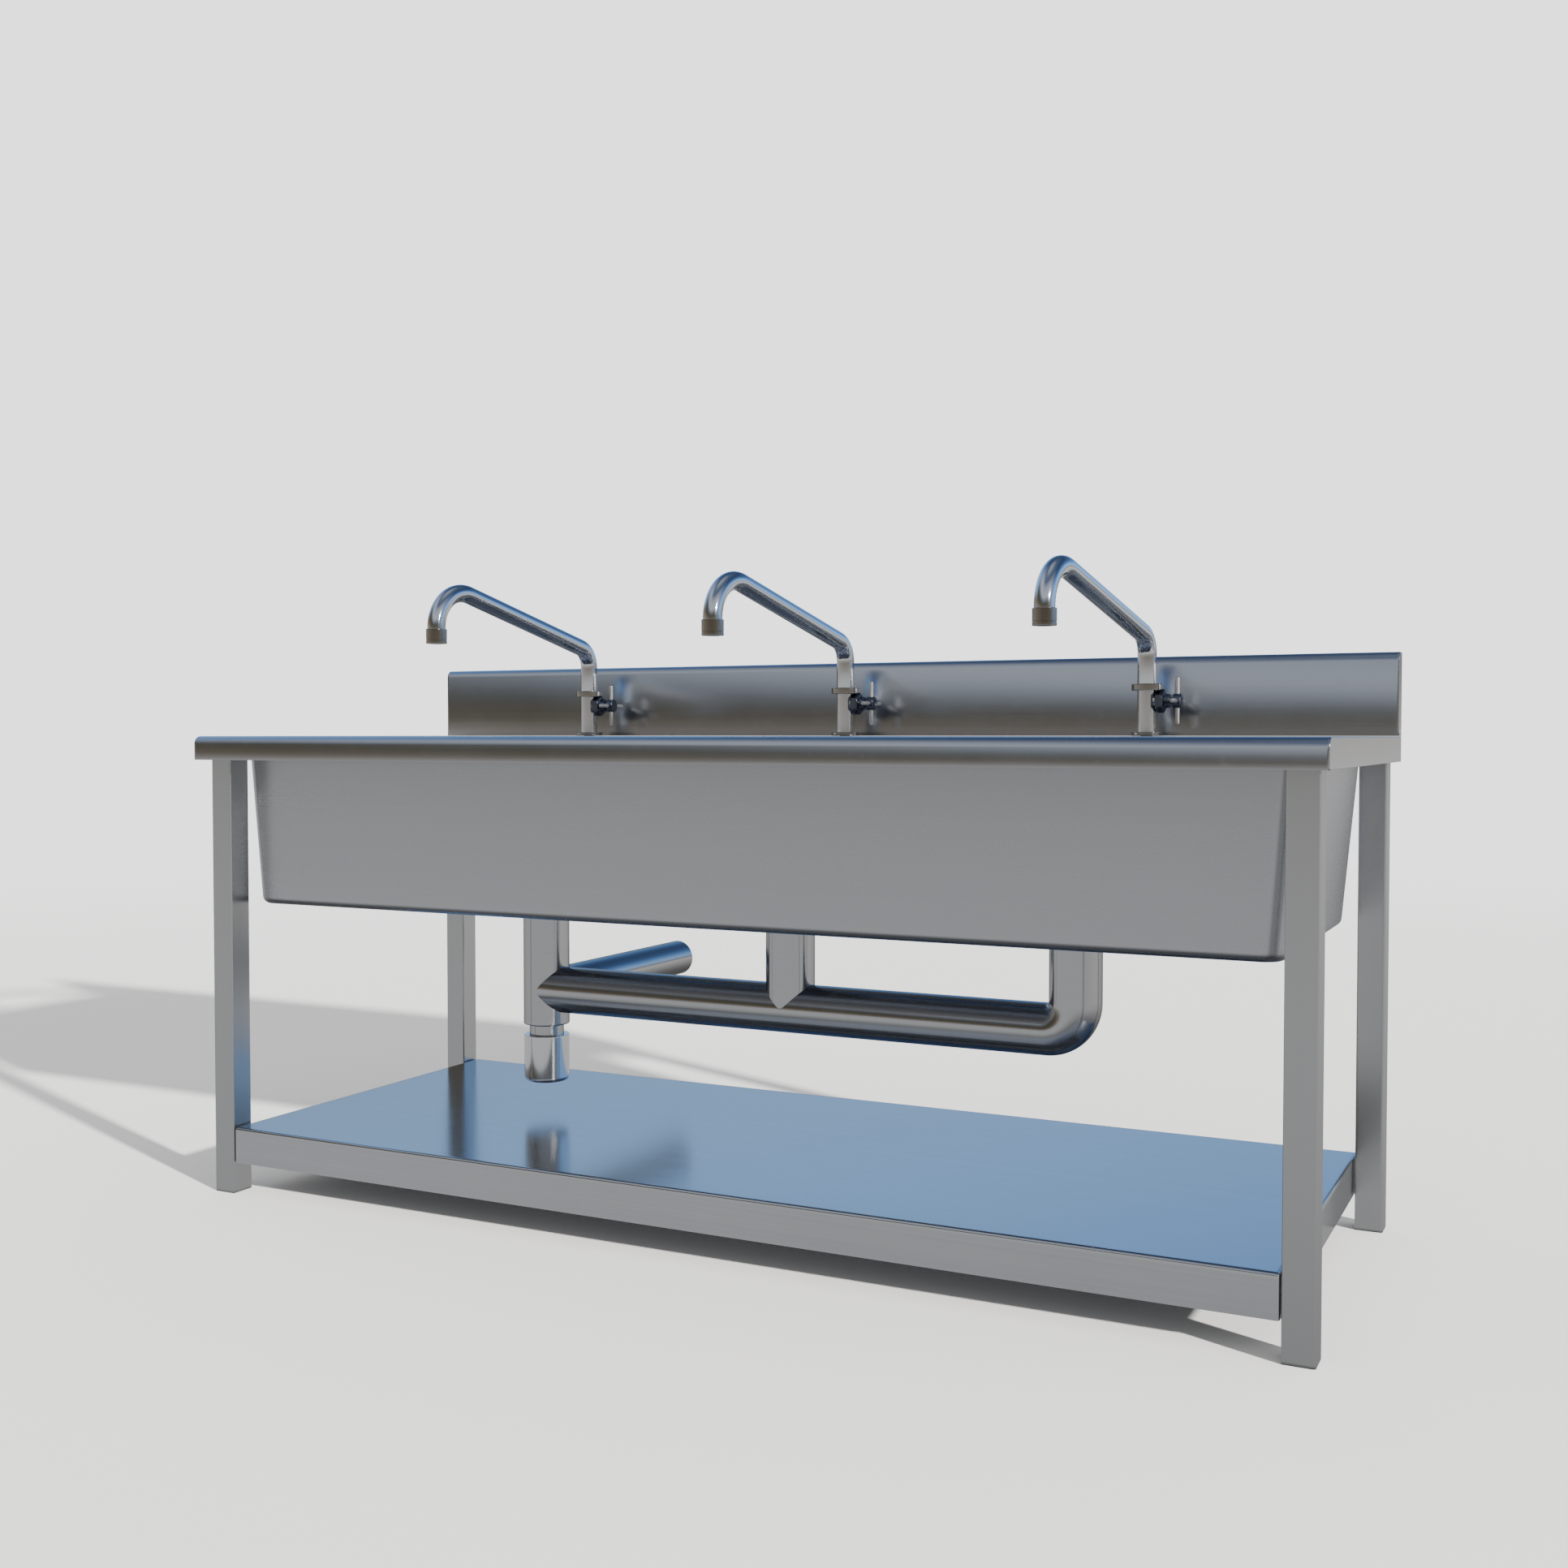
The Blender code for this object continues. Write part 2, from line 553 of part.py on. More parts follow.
def build_shelf():
    """Bottom shelf between the legs: a tray turned down on all sides, with a hat channel welded below."""
    half_x = LEG_OUTER_X - LEG_SIZE - SHELF_LEG_GAP
    half_y = (LEG_BACK_Y - LEG_FRONT_Y) / 2
    centre = (0, (LEG_BACK_Y + LEG_FRONT_Y) / 2)
    bottom = SHELF_TOP - SHELF_FLANGE

    def skin(inset, top, bend):
        corner = SHELF_CORNER_RADIUS - inset
        rings = [rounded_rectangle(half_x - inset, half_y - inset, corner, bottom, centre, 2)]
        for step in range(4):
            angle = math.pi / 2 * step / 3
            drawn_in = bend * (1 - math.cos(angle))
            z = top - bend * (1 - math.sin(angle))
            radius = max(corner - drawn_in, SHELF_CROWN_RADIUS)
            reach = inset + drawn_in
            rings.append(rounded_rectangle(half_x - reach, half_y - reach, radius, z, centre, 2))
        return rings

    outside = skin(0.0, SHELF_TOP, SHELF_BEND)
    inside = skin(SHEET, SHELF_TOP - SHEET, SHELF_BEND - SHEET)
    add_object("undershelf", loft(list(reversed(outside)) + inside, "undershelf"), STEEL, 0.3)

    top = SHELF_TOP - SHEET - CLEARANCE
    low = top - STIFFENER_DEPTH
    wide = STIFFENER_WIDTH / 2
    base = STIFFENER_BASE / 2
    hat = [(-wide, top), (-wide, top - SHEET), (-base, top - SHEET), (-base + SHEET, low), (base - SHEET, low),
           (base, top - SHEET), (wide, top - SHEET), (wide, top), (base - SHEET, top), (base - 2 * SHEET, low + SHEET),
           (-base + 2 * SHEET, low + SHEET), (-base + SHEET, top)]
    end = half_x - SHELF_FLANGE / 2
    outline = [(centre[1] + y, z) for y, z in hat]
    add_object("shelf_stiffener", extruded(outline, -end, end, "shelf_stiffener"), STEEL, 0.4)


# ---------------------------------------------------------------- drains
def build_drains():
    """For each compartment a flanged drain, its lock nut below the floor and a lift-out basket."""
    seat = FLOOR_TOP + CLEARANCE
    flange_top = seat + DRAIN_FLANGE_THICKNESS
    bore = DRAIN_BODY_RADIUS - DRAIN_WALL
    ledge = bore - DRAIN_LEDGE
    ledge_top = DRAIN_BOTTOM + SHEET
    for column, name in zip(COLUMN_X, TAP_NAMES):
        x = column * DRAIN_PITCH
        place = (x, DRAIN_Y, 0)
        flange = [
            (bore, seat + DRAIN_FLANGE_THICKNESS / 2), (bore + DRAIN_FLANGE_BEVEL, flange_top),
            (DRAIN_FLANGE_RADIUS - DRAIN_FLANGE_BEVEL, flange_top), (DRAIN_FLANGE_RADIUS, seat),
            (DRAIN_BODY_RADIUS, seat), (DRAIN_BODY_RADIUS, DRAIN_BOTTOM), (TAIL_RADIUS, DRAIN_BOTTOM),
            (TAIL_RADIUS, DRAIN_BOTTOM - TAIL_LENGTH), (ledge, DRAIN_BOTTOM - TAIL_LENGTH), (ledge, ledge_top),
            (bore, ledge_top),
        ]
        add_object("drain_flange_" + name, turned(flange, "drain_flange_" + name), CHROME, 0.2, location=place)
        nut_top = TUB_BOTTOM - CLEARANCE
        nut_bore = bore_round(DRAIN_BODY_RADIUS)
        nut = [
            (nut_bore, nut_top), (nut_bore, nut_top - LOCKNUT_THICKNESS),
            (LOCKNUT_RADIUS, nut_top - LOCKNUT_THICKNESS), (LOCKNUT_RADIUS, nut_top),
        ]
        add_object("drain_locknut_" + name, turned(nut, "drain_locknut_" + name), NICKEL, 0.4, location=place)
        build_basket(name, x, bore, ledge_top, seat)


def build_basket(name, x, bore, ledge_top, seat):
    """A perforated cup that stands on the drain's ledge and lifts straight out."""
    outer = bore - BASKET_FIT
    low = ledge_top + CLEARANCE
    high = seat + DRAIN_FLANGE_THICKNESS / 2
    inner = outer - BASKET_WALL
    profile = [
        (outer - BASKET_WALL, low), (outer, low + BASKET_WALL), (outer, high), (inner, high),
        (inner, low + BASKET_WALL),
    ]
    basket = add_object(
        "strainer_basket_" + name, turned(profile, "strainer_basket_" + name, closed=False), CHROME, 0.25,
        location=(x, DRAIN_Y, 0),
    )
    circle_radius = inner * BASKET_HOLE_CIRCLE
    for number in range(BASKET_HOLES):
        angle = 2 * math.pi * number / BASKET_HOLES
        spot = (circle_radius * math.cos(angle), circle_radius * math.sin(angle))
        hole = solid_rod(
            BASKET_HOLE_RADIUS, (*spot, low - SHEET), (*spot, low + BASKET_WALL + SHEET),
            f"basket_hole_{name}_{number}", HOLE_STEPS,
        )
        combine(basket, cutter(hole, (x, DRAIN_Y, 0)))


# ---------------------------------------------------------------- waste pipes
def build_waste_pipes():
    """Left stand pipe with its trap cup, the manifold with its elbow, the centre drop and the outlet to the wall."""
    left_x = -DRAIN_PITCH
    right_x = DRAIN_PITCH
    wrap_radius = bore_round(PIPE_RADIUS)
    port_reach = 2 * PIPE_RADIUS

    stand = [
        (PIPE_BORE, PIPE_TOP), (PIPE_RADIUS, PIPE_TOP), (PIPE_RADIUS, PIPE_END), (NECK_RADIUS, PIPE_END),
        (NECK_RADIUS, CUP_TOP - CUP_GRIP), (NECK_RADIUS - PIPE_WALL, CUP_TOP - CUP_GRIP),
        (NECK_RADIUS - PIPE_WALL, PIPE_END + PIPE_WALL), (PIPE_BORE, PIPE_END + PIPE_WALL),
    ]
    standpipe = add_object(
        "waste_pipe_left", turned(list(reversed(stand)), "waste_pipe_left"), STEEL, 0.25,
        location=(left_x, DRAIN_Y, 0),
    )
    port = solid_rod(
        PIPE_BORE - PIPE_WALL, (0, 0, MANIFOLD_HEIGHT), (port_reach, 0, MANIFOLD_HEIGHT), "manifold_port", SMALL_STEPS
    )
    combine(standpipe, cutter(port, (left_x, DRAIN_Y, 0)))
    rear_port = solid_rod(
        OUTLET_RADIUS - 2 * PIPE_WALL, (0, 0, MANIFOLD_HEIGHT), (0, port_reach, MANIFOLD_HEIGHT), "outlet_port",
        SMALL_STEPS,
    )
    combine(standpipe, cutter(rear_port, (left_x, DRAIN_Y, 0)))

    bend = PIPE_RADIUS + PIPE_ELBOW_GAP
    elbow = arc_points((right_x - bend, MANIFOLD_HEIGHT + bend), bend, -math.pi / 2, 0, 8)
    path = [(left_x, 0, MANIFOLD_HEIGHT)] + [(x, 0, z) for x, z in elbow] + [(right_x, 0, PIPE_TOP)]
    manifold = add_object(
        "waste_manifold", tube_along(path, PIPE_RADIUS, PIPE_BORE, "waste_manifold"), STEEL, 0.25,
        location=(0, DRAIN_Y, 0),
    )
    wrap = solid_rod(
        wrap_radius, (0, 0, PIPE_END), (0, 0, MANIFOLD_HEIGHT + port_reach), "stand_pipe_wrap"
    )
    combine(manifold, cutter(wrap, (left_x, DRAIN_Y, 0)))
    drop_port = solid_rod(
        PIPE_BORE - PIPE_WALL, (0, 0, MANIFOLD_HEIGHT), (0, 0, MANIFOLD_HEIGHT + port_reach), "drop_port",
        SMALL_STEPS,
    )
    combine(manifold, cutter(drop_port, (0, DRAIN_Y, 0)))

    drop = [
        (PIPE_RADIUS, PIPE_TOP), (PIPE_BORE, PIPE_TOP), (PIPE_BORE, MANIFOLD_HEIGHT), (PIPE_RADIUS, MANIFOLD_HEIGHT),
    ]
    centre_drop = add_object(
        "waste_pipe_centre", turned(drop, "waste_pipe_centre"), STEEL, 0.25, location=(0, DRAIN_Y, 0)
    )
    saddle = solid_rod(
        wrap_radius, (-port_reach, 0, MANIFOLD_HEIGHT), (port_reach, 0, MANIFOLD_HEIGHT), "saddle"
    )
    combine(centre_drop, cutter(saddle, (0, DRAIN_Y, 0)))

    outlet_bore = OUTLET_RADIUS - PIPE_WALL
    reach = OUTLET_END_Y - DRAIN_Y
    lengths = ((OUTLET_RADIUS, 0.0), (OUTLET_RADIUS, reach), (outlet_bore, reach), (outlet_bore, 0.0))
    rings = [
        [Vector((point.x, along, MANIFOLD_HEIGHT + point.y)) for point in circle(radius, 0.0, ROUND_STEPS)]
        for radius, along in lengths
    ]
    outlet = add_object(
        "outlet_pipe", loft(rings, "outlet_pipe", loop=True), STEEL, 0.25, location=(left_x, DRAIN_Y, 0)
    )
    combine(outlet, cutter(wrap, (left_x, DRAIN_Y, 0)))
    branch_wrap = solid_rod(wrap_radius, (0, 0, MANIFOLD_HEIGHT), (port_reach, 0, MANIFOLD_HEIGHT), "branch_wrap")
    combine(outlet, cutter(branch_wrap, (left_x, DRAIN_Y, 0)))

    cup_wall = CUP_RADIUS - NECK_RADIUS - CLEARANCE
    cup = [(CUP_RADIUS - cup_wall, CUP_TOP), (CUP_RADIUS, CUP_TOP)]
    cup += [
        (r, z) for r, z in reversed(arc_points(
            (CUP_RADIUS - CUP_EDGE_RADIUS, CUP_BOTTOM + CUP_EDGE_RADIUS), CUP_EDGE_RADIUS, -math.pi / 2, 0, 3))
    ]
    cup = list(reversed(cup)) + [(CUP_RADIUS - cup_wall, CUP_BOTTOM + 2 * PIPE_WALL)]
    add_object(
        "trap_cup", turned(cup, "trap_cup", closed=False), CHROME, 0.2, location=(left_x, DRAIN_Y, 0)
    )


# ---------------------------------------------------------------- taps
def hexagon_ring(flats, x, steps, shrink=1.0):
    """Points round a hexagon that lies across X with a flat on top, as many as a circle of the same steps has."""
    points = []
    for index in range(steps):
        angle = 2 * math.pi * index / steps
        local = angle % (math.pi / 3) - math.pi / 6
        radius = flats / 2 * shrink / math.cos(local)
        points.append(Vector((x, radius * math.cos(angle), radius * math.sin(angle))))
    return points


def upright_ring(radius, x, steps):
    """Points round a circle that lies across X."""
    turn = 2 * math.pi / steps
    return [Vector((x, radius * math.cos(k * turn), radius * math.sin(k * turn))) for k in range(steps)]


def build_tap_body(name, x):
    """Column with its inlet shank, swivel nipple and valve boss, the plate at its foot and the nut below."""
    deck = DECK_HEIGHT + CLEARANCE
    shoulder = DECK_HEIGHT + COLLAR_BOTTOM + COLLAR_HEIGHT / 2 - CLEARANCE
    shank_low = DECK_HEIGHT - SHANK_LENGTH
    place = (x, TAP_Y, 0)
    profile = [
        (TAP_BORE_RADIUS, shank_low), (SHANK_RADIUS, shank_low), (SHANK_RADIUS, deck), (TAP_BODY_RADIUS, deck),
        (TAP_BODY_RADIUS, shoulder), (NIPPLE_RADIUS, shoulder), (NIPPLE_RADIUS, shoulder + NIPPLE_LENGTH),
        (TAP_BORE_RADIUS, shoulder + NIPPLE_LENGTH),
    ]
    body = add_object(
        "tap_body_" + name, turned(list(reversed(profile)), "tap_body_" + name, SMALL_STEPS), CHROME, 0.12,
        location=place,
    )
    valve_z = DECK_HEIGHT + VALVE_HEIGHT
    boss = solid_rod(BOSS_RADIUS, (BOSS_ROOT, 0, valve_z), (BOSS_REACH, 0, valve_z), "boss", SMALL_STEPS)
    combine(body, cutter(boss, place), "UNION")
    passage = solid_rod(
        bore_round(SPINDLE_RADIUS, SMALL_STEPS), (0, 0, valve_z), (BOSS_REACH + SHEET, 0, valve_z), "passage",
        SMALL_STEPS,
    )
    combine(body, cutter(passage, place))

    ring = bore_round(TAP_BODY_RADIUS)
    plate_top = deck + BASE_FLANGE_HEIGHT
    plate = [
        (ring, deck), (ring, plate_top), (BASE_FLANGE_RADIUS - RING_BEVEL, plate_top),
        (BASE_FLANGE_RADIUS, plate_top - RING_BEVEL), (BASE_FLANGE_RADIUS, deck),
    ]
    add_object("base_flange_" + name, turned(plate, "base_flange_" + name), NICKEL, 0.35, location=place)

    low = DECK_HEIGHT + COLLAR_BOTTOM
    high = low + COLLAR_HEIGHT
    collar = [
        (ring, low), (ring, high), (COLLAR_RADIUS - RING_BEVEL, high), (COLLAR_RADIUS, high - RING_BEVEL),
        (COLLAR_RADIUS, low + RING_BEVEL), (COLLAR_RADIUS - RING_BEVEL, low),
    ]
    add_object("collar_nut_" + name, turned(collar, "collar_nut_" + name), NICKEL, 0.35, location=place)

    nut_top = DECK_UNDERSIDE - CLEARANCE
    nut_bore = bore_round(SHANK_RADIUS, SMALL_STEPS)
    nut = [
        (nut_bore, nut_top - SHANK_NUT_THICKNESS), (nut_bore, nut_top), (SHANK_NUT_RADIUS, nut_top),
        (SHANK_NUT_RADIUS, nut_top - SHANK_NUT_THICKNESS),
    ]
    nut_mesh = turned(nut, "mounting_nut_" + name, SMALL_STEPS)
    add_object("mounting_nut_" + name, nut_mesh, NICKEL, 0.45, location=place)


def spout_path():
    """Centre line in the XZ plane: straight up, bent forward, climbing, then over in an arc and down."""
    start = DECK_HEIGHT + COLLAR_BOTTOM + COLLAR_HEIGHT / 2
    bend_z = DECK_HEIGHT + SPOUT_BEND_HEIGHT
    arc_z = DECK_HEIGHT + SPOUT_TOP - TAP_BODY_RADIUS - SPOUT_ARC_RADIUS
    arc_x = SPOUT_REACH - SPOUT_ARC_RADIUS
    run = math.hypot(arc_x, arc_z - bend_z)
    climb = math.atan2(arc_z - bend_z, arc_x) + math.asin(SPOUT_ARC_RADIUS / run)
    cut_back = SPOUT_BEND_RADIUS * math.tan((math.pi / 2 - climb) / 2)
    path = [(0.0, start)]
    path += arc_points((SPOUT_BEND_RADIUS, bend_z - cut_back), SPOUT_BEND_RADIUS, math.pi, math.pi / 2 + climb, 4)
    path += arc_points((arc_x, arc_z), SPOUT_ARC_RADIUS, math.pi / 2 + climb, 0.0, 7)
    path.append((SPOUT_REACH, DECK_HEIGHT + AERATOR_TOP - AERATOR_HEIGHT + AERATOR_LIP + CLEARANCE))
    return [(x, 0.0, z) for x, z in path]


def build_spout(name, x):
    """Swivel spout and the aerator on its end, turning about the tap's upright axis."""
    pivot = empty_at("spout_pivot_" + name, (x, TAP_Y, 0), (0, 0, -math.pi / 2 + SPOUT_REST_SWING))
    tube = tube_along(spout_path(), TAP_BODY_RADIUS, SPOUT_BORE, "spout_" + name, SMALL_STEPS)
    add_object("spout_" + name, tube, CHROME, 0.1, parent=pivot)

    top = DECK_HEIGHT + AERATOR_TOP
    low = top - AERATOR_HEIGHT
    sleeve = bore_round(TAP_BODY_RADIUS, SMALL_STEPS)
    edge = AERATOR_RADIUS - AERATOR_BEVEL
    profile = [
        (sleeve, low + AERATOR_LIP), (sleeve, top), (edge, top), (AERATOR_RADIUS, top - AERATOR_BEVEL),
        (AERATOR_RADIUS, low + AERATOR_BEVEL), (edge, low), (SPOUT_BORE, low), (SPOUT_BORE, low + AERATOR_LIP),
    ]
    add_object(
        "aerator_" + name, turned(profile, "aerator_" + name, SMALL_STEPS), NICKEL, 0.3, parent=pivot,
        location=(SPOUT_REACH, 0, 0),
    )


def build_valve(name, x):
    """Bonnet on the boss, and the spindle and cross handle that turn together about X."""
    place = (x, TAP_Y, DECK_HEIGHT + VALVE_HEIGHT)
    hex_end = BONNET_START + BONNET_HEX_LENGTH
    boss_end = BOSS_REACH + 2 * CLEARANCE
    steps = SMALL_STEPS
    bonnet_bore = bore_round(BOSS_RADIUS, steps)
    spindle_bore = bore_round(SPINDLE_RADIUS, steps)
    rings = [
        upright_ring(bonnet_bore, BONNET_START, steps),
        hexagon_ring(BONNET_FLATS, BONNET_START, steps, BONNET_END_SHARE),
        hexagon_ring(BONNET_FLATS, BONNET_START + BONNET_CHAMFER, steps),
        hexagon_ring(BONNET_FLATS, hex_end - BONNET_CHAMFER, steps),
        hexagon_ring(BONNET_FLATS, hex_end, steps, BONNET_END_SHARE),
        upright_ring(BONNET_NECK_RADIUS, hex_end, steps),
        upright_ring(BONNET_TIP_RADIUS, BONNET_END, steps),
        upright_ring(spindle_bore, BONNET_END, steps),
        upright_ring(spindle_bore, boss_end, steps),
        upright_ring(bonnet_bore, boss_end, steps),
    ]
    add_object(
        "valve_bonnet_" + name, loft(rings, "valve_bonnet_" + name, loop=True), SMOKED, 0.3, location=place
    )

    socket_end = HUB_START + HUB_SOCKET_DEPTH
    spindle = solid_rod(
        SPINDLE_RADIUS, (SPINDLE_START, 0, 0), (socket_end - CLEARANCE, 0, 0), "valve_spindle_" + name, steps
    )
    add_object("valve_spindle_" + name, spindle, NICKEL, 0.3, location=place)

    hub_end = HUB_START + HUB_LENGTH
    hub = [
        upright_ring(HUB_RADIUS - RING_BEVEL, HUB_START, steps),
        upright_ring(HUB_RADIUS, HUB_START + RING_BEVEL, steps),
        upright_ring(HUB_RADIUS, hub_end - RING_BEVEL, steps),
        upright_ring(HUB_RADIUS - RING_BEVEL, hub_end, steps),
    ]
    handle = add_object("cross_handle_" + name, loft(hub, "cross_handle_" + name), SMOKED, 0.3, location=place)
    middle = (HUB_START + hub_end) / 2
    half = ARM_SPAN / 2
    for tag, direction in (("upright", (0, 0, 1)), ("level", (0, 1, 0))):
        axis = Vector(direction) * half
        centre = Vector((middle, 0, 0))
        arm = solid_rod(ARM_RADIUS, centre - axis, centre + axis, f"arm_{tag}_{name}", steps)
        combine(handle, cutter(arm, place), "UNION")
    socket = solid_rod(
        spindle_bore, (HUB_START - SHEET, 0, 0), (socket_end, 0, 0), "spindle_socket_" + name, steps
    )
    combine(handle, cutter(socket, place))


def build_taps():
    """One tap for each compartment."""
    for column, name in zip(COLUMN_X, TAP_NAMES):
        x = column * TAP_PITCH
        build_tap_body(name, x)
        build_spout(name, x)
        build_valve(name, x)


# ---------------------------------------------------------------- the whole sink
def main():
    """Build every sub-part."""
    clear_scene()
    build_worktop()
    build_backsplash()
    build_tub()
    build_dividers()
    build_legs()
    build_shelf()
    build_drains()
    build_waste_pipes()
    build_taps()


main()
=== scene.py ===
"""Looks of a three compartment sink, built round its CAD frame.

Sheet metal, pipes and taps are finer surfaces that stand for the frame's own solids. Metres, +Z up and the
front at -Y.
"""
import logging
import math
from dataclasses import dataclass
from enum import Enum

import bpy
import numpy as np
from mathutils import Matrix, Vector


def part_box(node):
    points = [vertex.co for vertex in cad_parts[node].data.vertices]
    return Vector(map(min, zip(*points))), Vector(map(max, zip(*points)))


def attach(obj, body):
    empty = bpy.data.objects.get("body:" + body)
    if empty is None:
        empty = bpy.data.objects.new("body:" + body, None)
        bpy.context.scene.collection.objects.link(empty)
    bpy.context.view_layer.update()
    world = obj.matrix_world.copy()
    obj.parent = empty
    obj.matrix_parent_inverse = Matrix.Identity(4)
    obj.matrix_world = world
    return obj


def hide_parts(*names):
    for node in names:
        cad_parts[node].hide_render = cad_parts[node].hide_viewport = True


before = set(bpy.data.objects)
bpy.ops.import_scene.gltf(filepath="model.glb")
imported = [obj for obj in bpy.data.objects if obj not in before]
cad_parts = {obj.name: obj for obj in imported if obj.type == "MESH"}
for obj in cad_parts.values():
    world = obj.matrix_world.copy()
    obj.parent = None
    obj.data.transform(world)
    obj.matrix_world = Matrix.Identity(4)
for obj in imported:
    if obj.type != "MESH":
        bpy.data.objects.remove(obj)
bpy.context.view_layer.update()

LOG = logging.getLogger("sink")
SIDES = ("left", "centre", "right")
CORNERS = ("front_left", "front_right", "rear_left", "rear_right")
FIXED = "stand"
FULL = 2 * math.pi
# Faces that meet at more than this angle stay sharp.
SHARP_EDGE = math.radians(38)
# How far the middle of a small round edge lies in from either face, as a share of its radius.
ARC_MIDDLE = 0.3
# Heights are rounded to so many places, so that two rows at one height become one.
DECIMALS = 7
# A point this near a face lies on it.
ON_SKIN = 1e-5
HEXAGON_STEPS = 72
# Weight of a hexagon's share beside metres.
SHARE_WEIGHT = 0.001
Colour = tuple[float, float, float]
Rows = tuple[tuple[float, float], ...]


# ------------------------------------------------------------------------------------ surfaces
class Closing(Enum):
    """How a surface made of rings is closed."""

    LOOP = "the last ring joins the first"
    CAPS = "a flat face closes either end"


class Axis(Enum):
    """The world axis that a turned piece goes round."""

    UPRIGHT = "z"
    LEVEL = "x"


class Joining(Enum):
    """What a closed mesh does to the piece that it meets."""

    CUT = "DIFFERENCE"
    JOIN = "UNION"


def box_of(node: str) -> tuple[np.ndarray, np.ndarray]:
    """Lowest and highest corner of a frame node, as arrays."""
    low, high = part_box(node)
    return np.array(low), np.array(high)


def middle_of(node: str) -> np.ndarray:
    """Middle of a frame node's box."""
    low, high = box_of(node)
    return (low + high) / 2


def half_of(node: str, axis: int = 0) -> float:
    """Half of a frame node's width along an axis."""
    low, high = box_of(node)
    return (high[axis] - low[axis]) / 2


def supported(rows: np.ndarray, gap: float) -> np.ndarray:
    """Adds a row just inside both ends of every long step, so that flats stay flat when shaded smooth.

    A row's place is the running sum of the straight steps, and a new row is the straight blend at its place.

    Args:
        rows: One row of numbers per ring or profile point.
        gap: Distance from a step's end to the row added there.

    Returns:
        The rows with the new ones between them.
    """
    steps = np.linalg.norm(np.diff(rows, axis=0), axis=1)
    place = np.concatenate(([0.0], np.cumsum(steps)))
    long = steps > 4 * gap
    extra = np.concatenate((place[:-1][long] + gap, place[1:][long] - gap))
    every = np.sort(np.concatenate((place, extra)))
    return np.stack([np.interp(every, place, column) for column in rows.T], axis=1)


def arc(centre: tuple[float, float], radius: float, start: float, end: float, steps: int) -> np.ndarray:
    """Points of an arc with both its ends: centre + radius (cos t, sin t) for even steps of t in degrees."""
    angle = np.radians(np.linspace(start, end, steps + 1))
    return np.array(centre) + radius * np.stack((np.cos(angle), np.sin(angle)), axis=1)


def level_rectangles(stack: np.ndarray, steps: int = 6, gap: float = 0.003) -> np.ndarray:
    """Level rounded rectangles, one per row.

    Each corner is a quarter circle about its own middle: middle + corner (cos t, sin t). One more point on
    either side of it, a gap further along the straight, keeps the straight flat when shaded smooth.

    Args:
        stack: Rows of x_low, x_high, y_low, y_high, z, corner radius.
        steps: Steps round one corner.
        gap: Distance of the extra points from the corner.

    Returns:
        Rings as an array (row, point, xyz).
    """
    x_low, x_high, y_low, y_high, z, corner = (stack[:, k, None, None] for k in range(6))
    turn = np.radians(np.linspace(0, 90, steps + 1))
    angle = np.pad(turn, 1, mode="edge")[None, :] + np.pi / 2 * np.arange(4)[:, None]
    slide = np.zeros(steps + 3)
    slide[0], slide[-1] = -gap, gap
    right = np.array([True, False, False, True])[:, None]
    rear = np.array([True, True, False, False])[:, None]
    middle_x = np.where(right, x_high - corner, x_low + corner)
    middle_y = np.where(rear, y_high - corner, y_low + corner)
    x = middle_x + corner * np.cos(angle) - slide * np.sin(angle)
    y = middle_y + corner * np.sin(angle) + slide * np.cos(angle)
    level = np.broadcast_to(z, x.shape)
    return np.stack([part.reshape(len(stack), -1) for part in (x, y, level)], axis=-1)


def turned(
    profile: np.ndarray,
    centre: tuple[float, float, float],
    steps: int = 48,
    axis: Axis = Axis.UPRIGHT,
    lobes: np.ndarray | None = None,
    share: np.ndarray | None = None,
) -> np.ndarray:
    """Turns a profile about an axis: radius (cos t, sin t) across it, height along it.

    Where lobes are given, a row's radius is multiplied by 1 + share (lobe - 1), so a hexagon or a notched rim
    can fade into a plain round.

    Args:
        profile: Rows of radius, height.
        centre: Place of height nought.
        steps: Points round the axis.
        axis: Axis that the profile goes round.
        lobes: Factor on the radius for each point round the axis.
        share: How far each row follows the lobes, 0 to 1.

    Returns:
        Rings as an array (row, point, xyz).
    """
    angle = np.arange(steps) * FULL / steps
    radius = np.repeat(profile[:, :1], steps, axis=1)
    if lobes is not None and share is not None:
        radius = radius * (1 + share[:, None] * (lobes[None, :] - 1))
    height = np.repeat(profile[:, 1:], steps, axis=1)
    across, aside = radius * np.cos(angle), radius * np.sin(angle)
    order = (across, aside, height) if axis is Axis.UPRIGHT else (height, across, aside)
    return np.stack(order, axis=-1) + np.array(centre)


def hexagonal(
    rows: np.ndarray, gap: float, centre: tuple[float, float, float], axis: Axis = Axis.UPRIGHT
) -> np.ndarray:
    """Turns a profile that is a hexagon in some rows, with a flat at angle nought.

    A hexagon's radius over that of its flats is 1 / cos of the angle from the nearest flat. The share has
    little weight while rows are added, so that it hardly counts as a distance.

    Args:
        rows: Rows of radius, height, and share of the hexagon from 0 to 1.
        gap: Distance from a step's end to the row added there.
        centre: Place of height nought.
        axis: Axis that the profile goes round.

    Returns:
        Rings as an array (row, point, xyz).
    """
    angle = np.arange(HEXAGON_STEPS) * FULL / HEXAGON_STEPS
    from_flat = (angle + np.pi / 6) % (np.pi / 3) - np.pi / 6
    full = supported(rows * (1, 1, SHARE_WEIGHT), gap)
    return turned(full[:, :2], centre, HEXAGON_STEPS, axis, 1 / np.cos(from_flat), full[:, 2] / SHARE_WEIGHT)


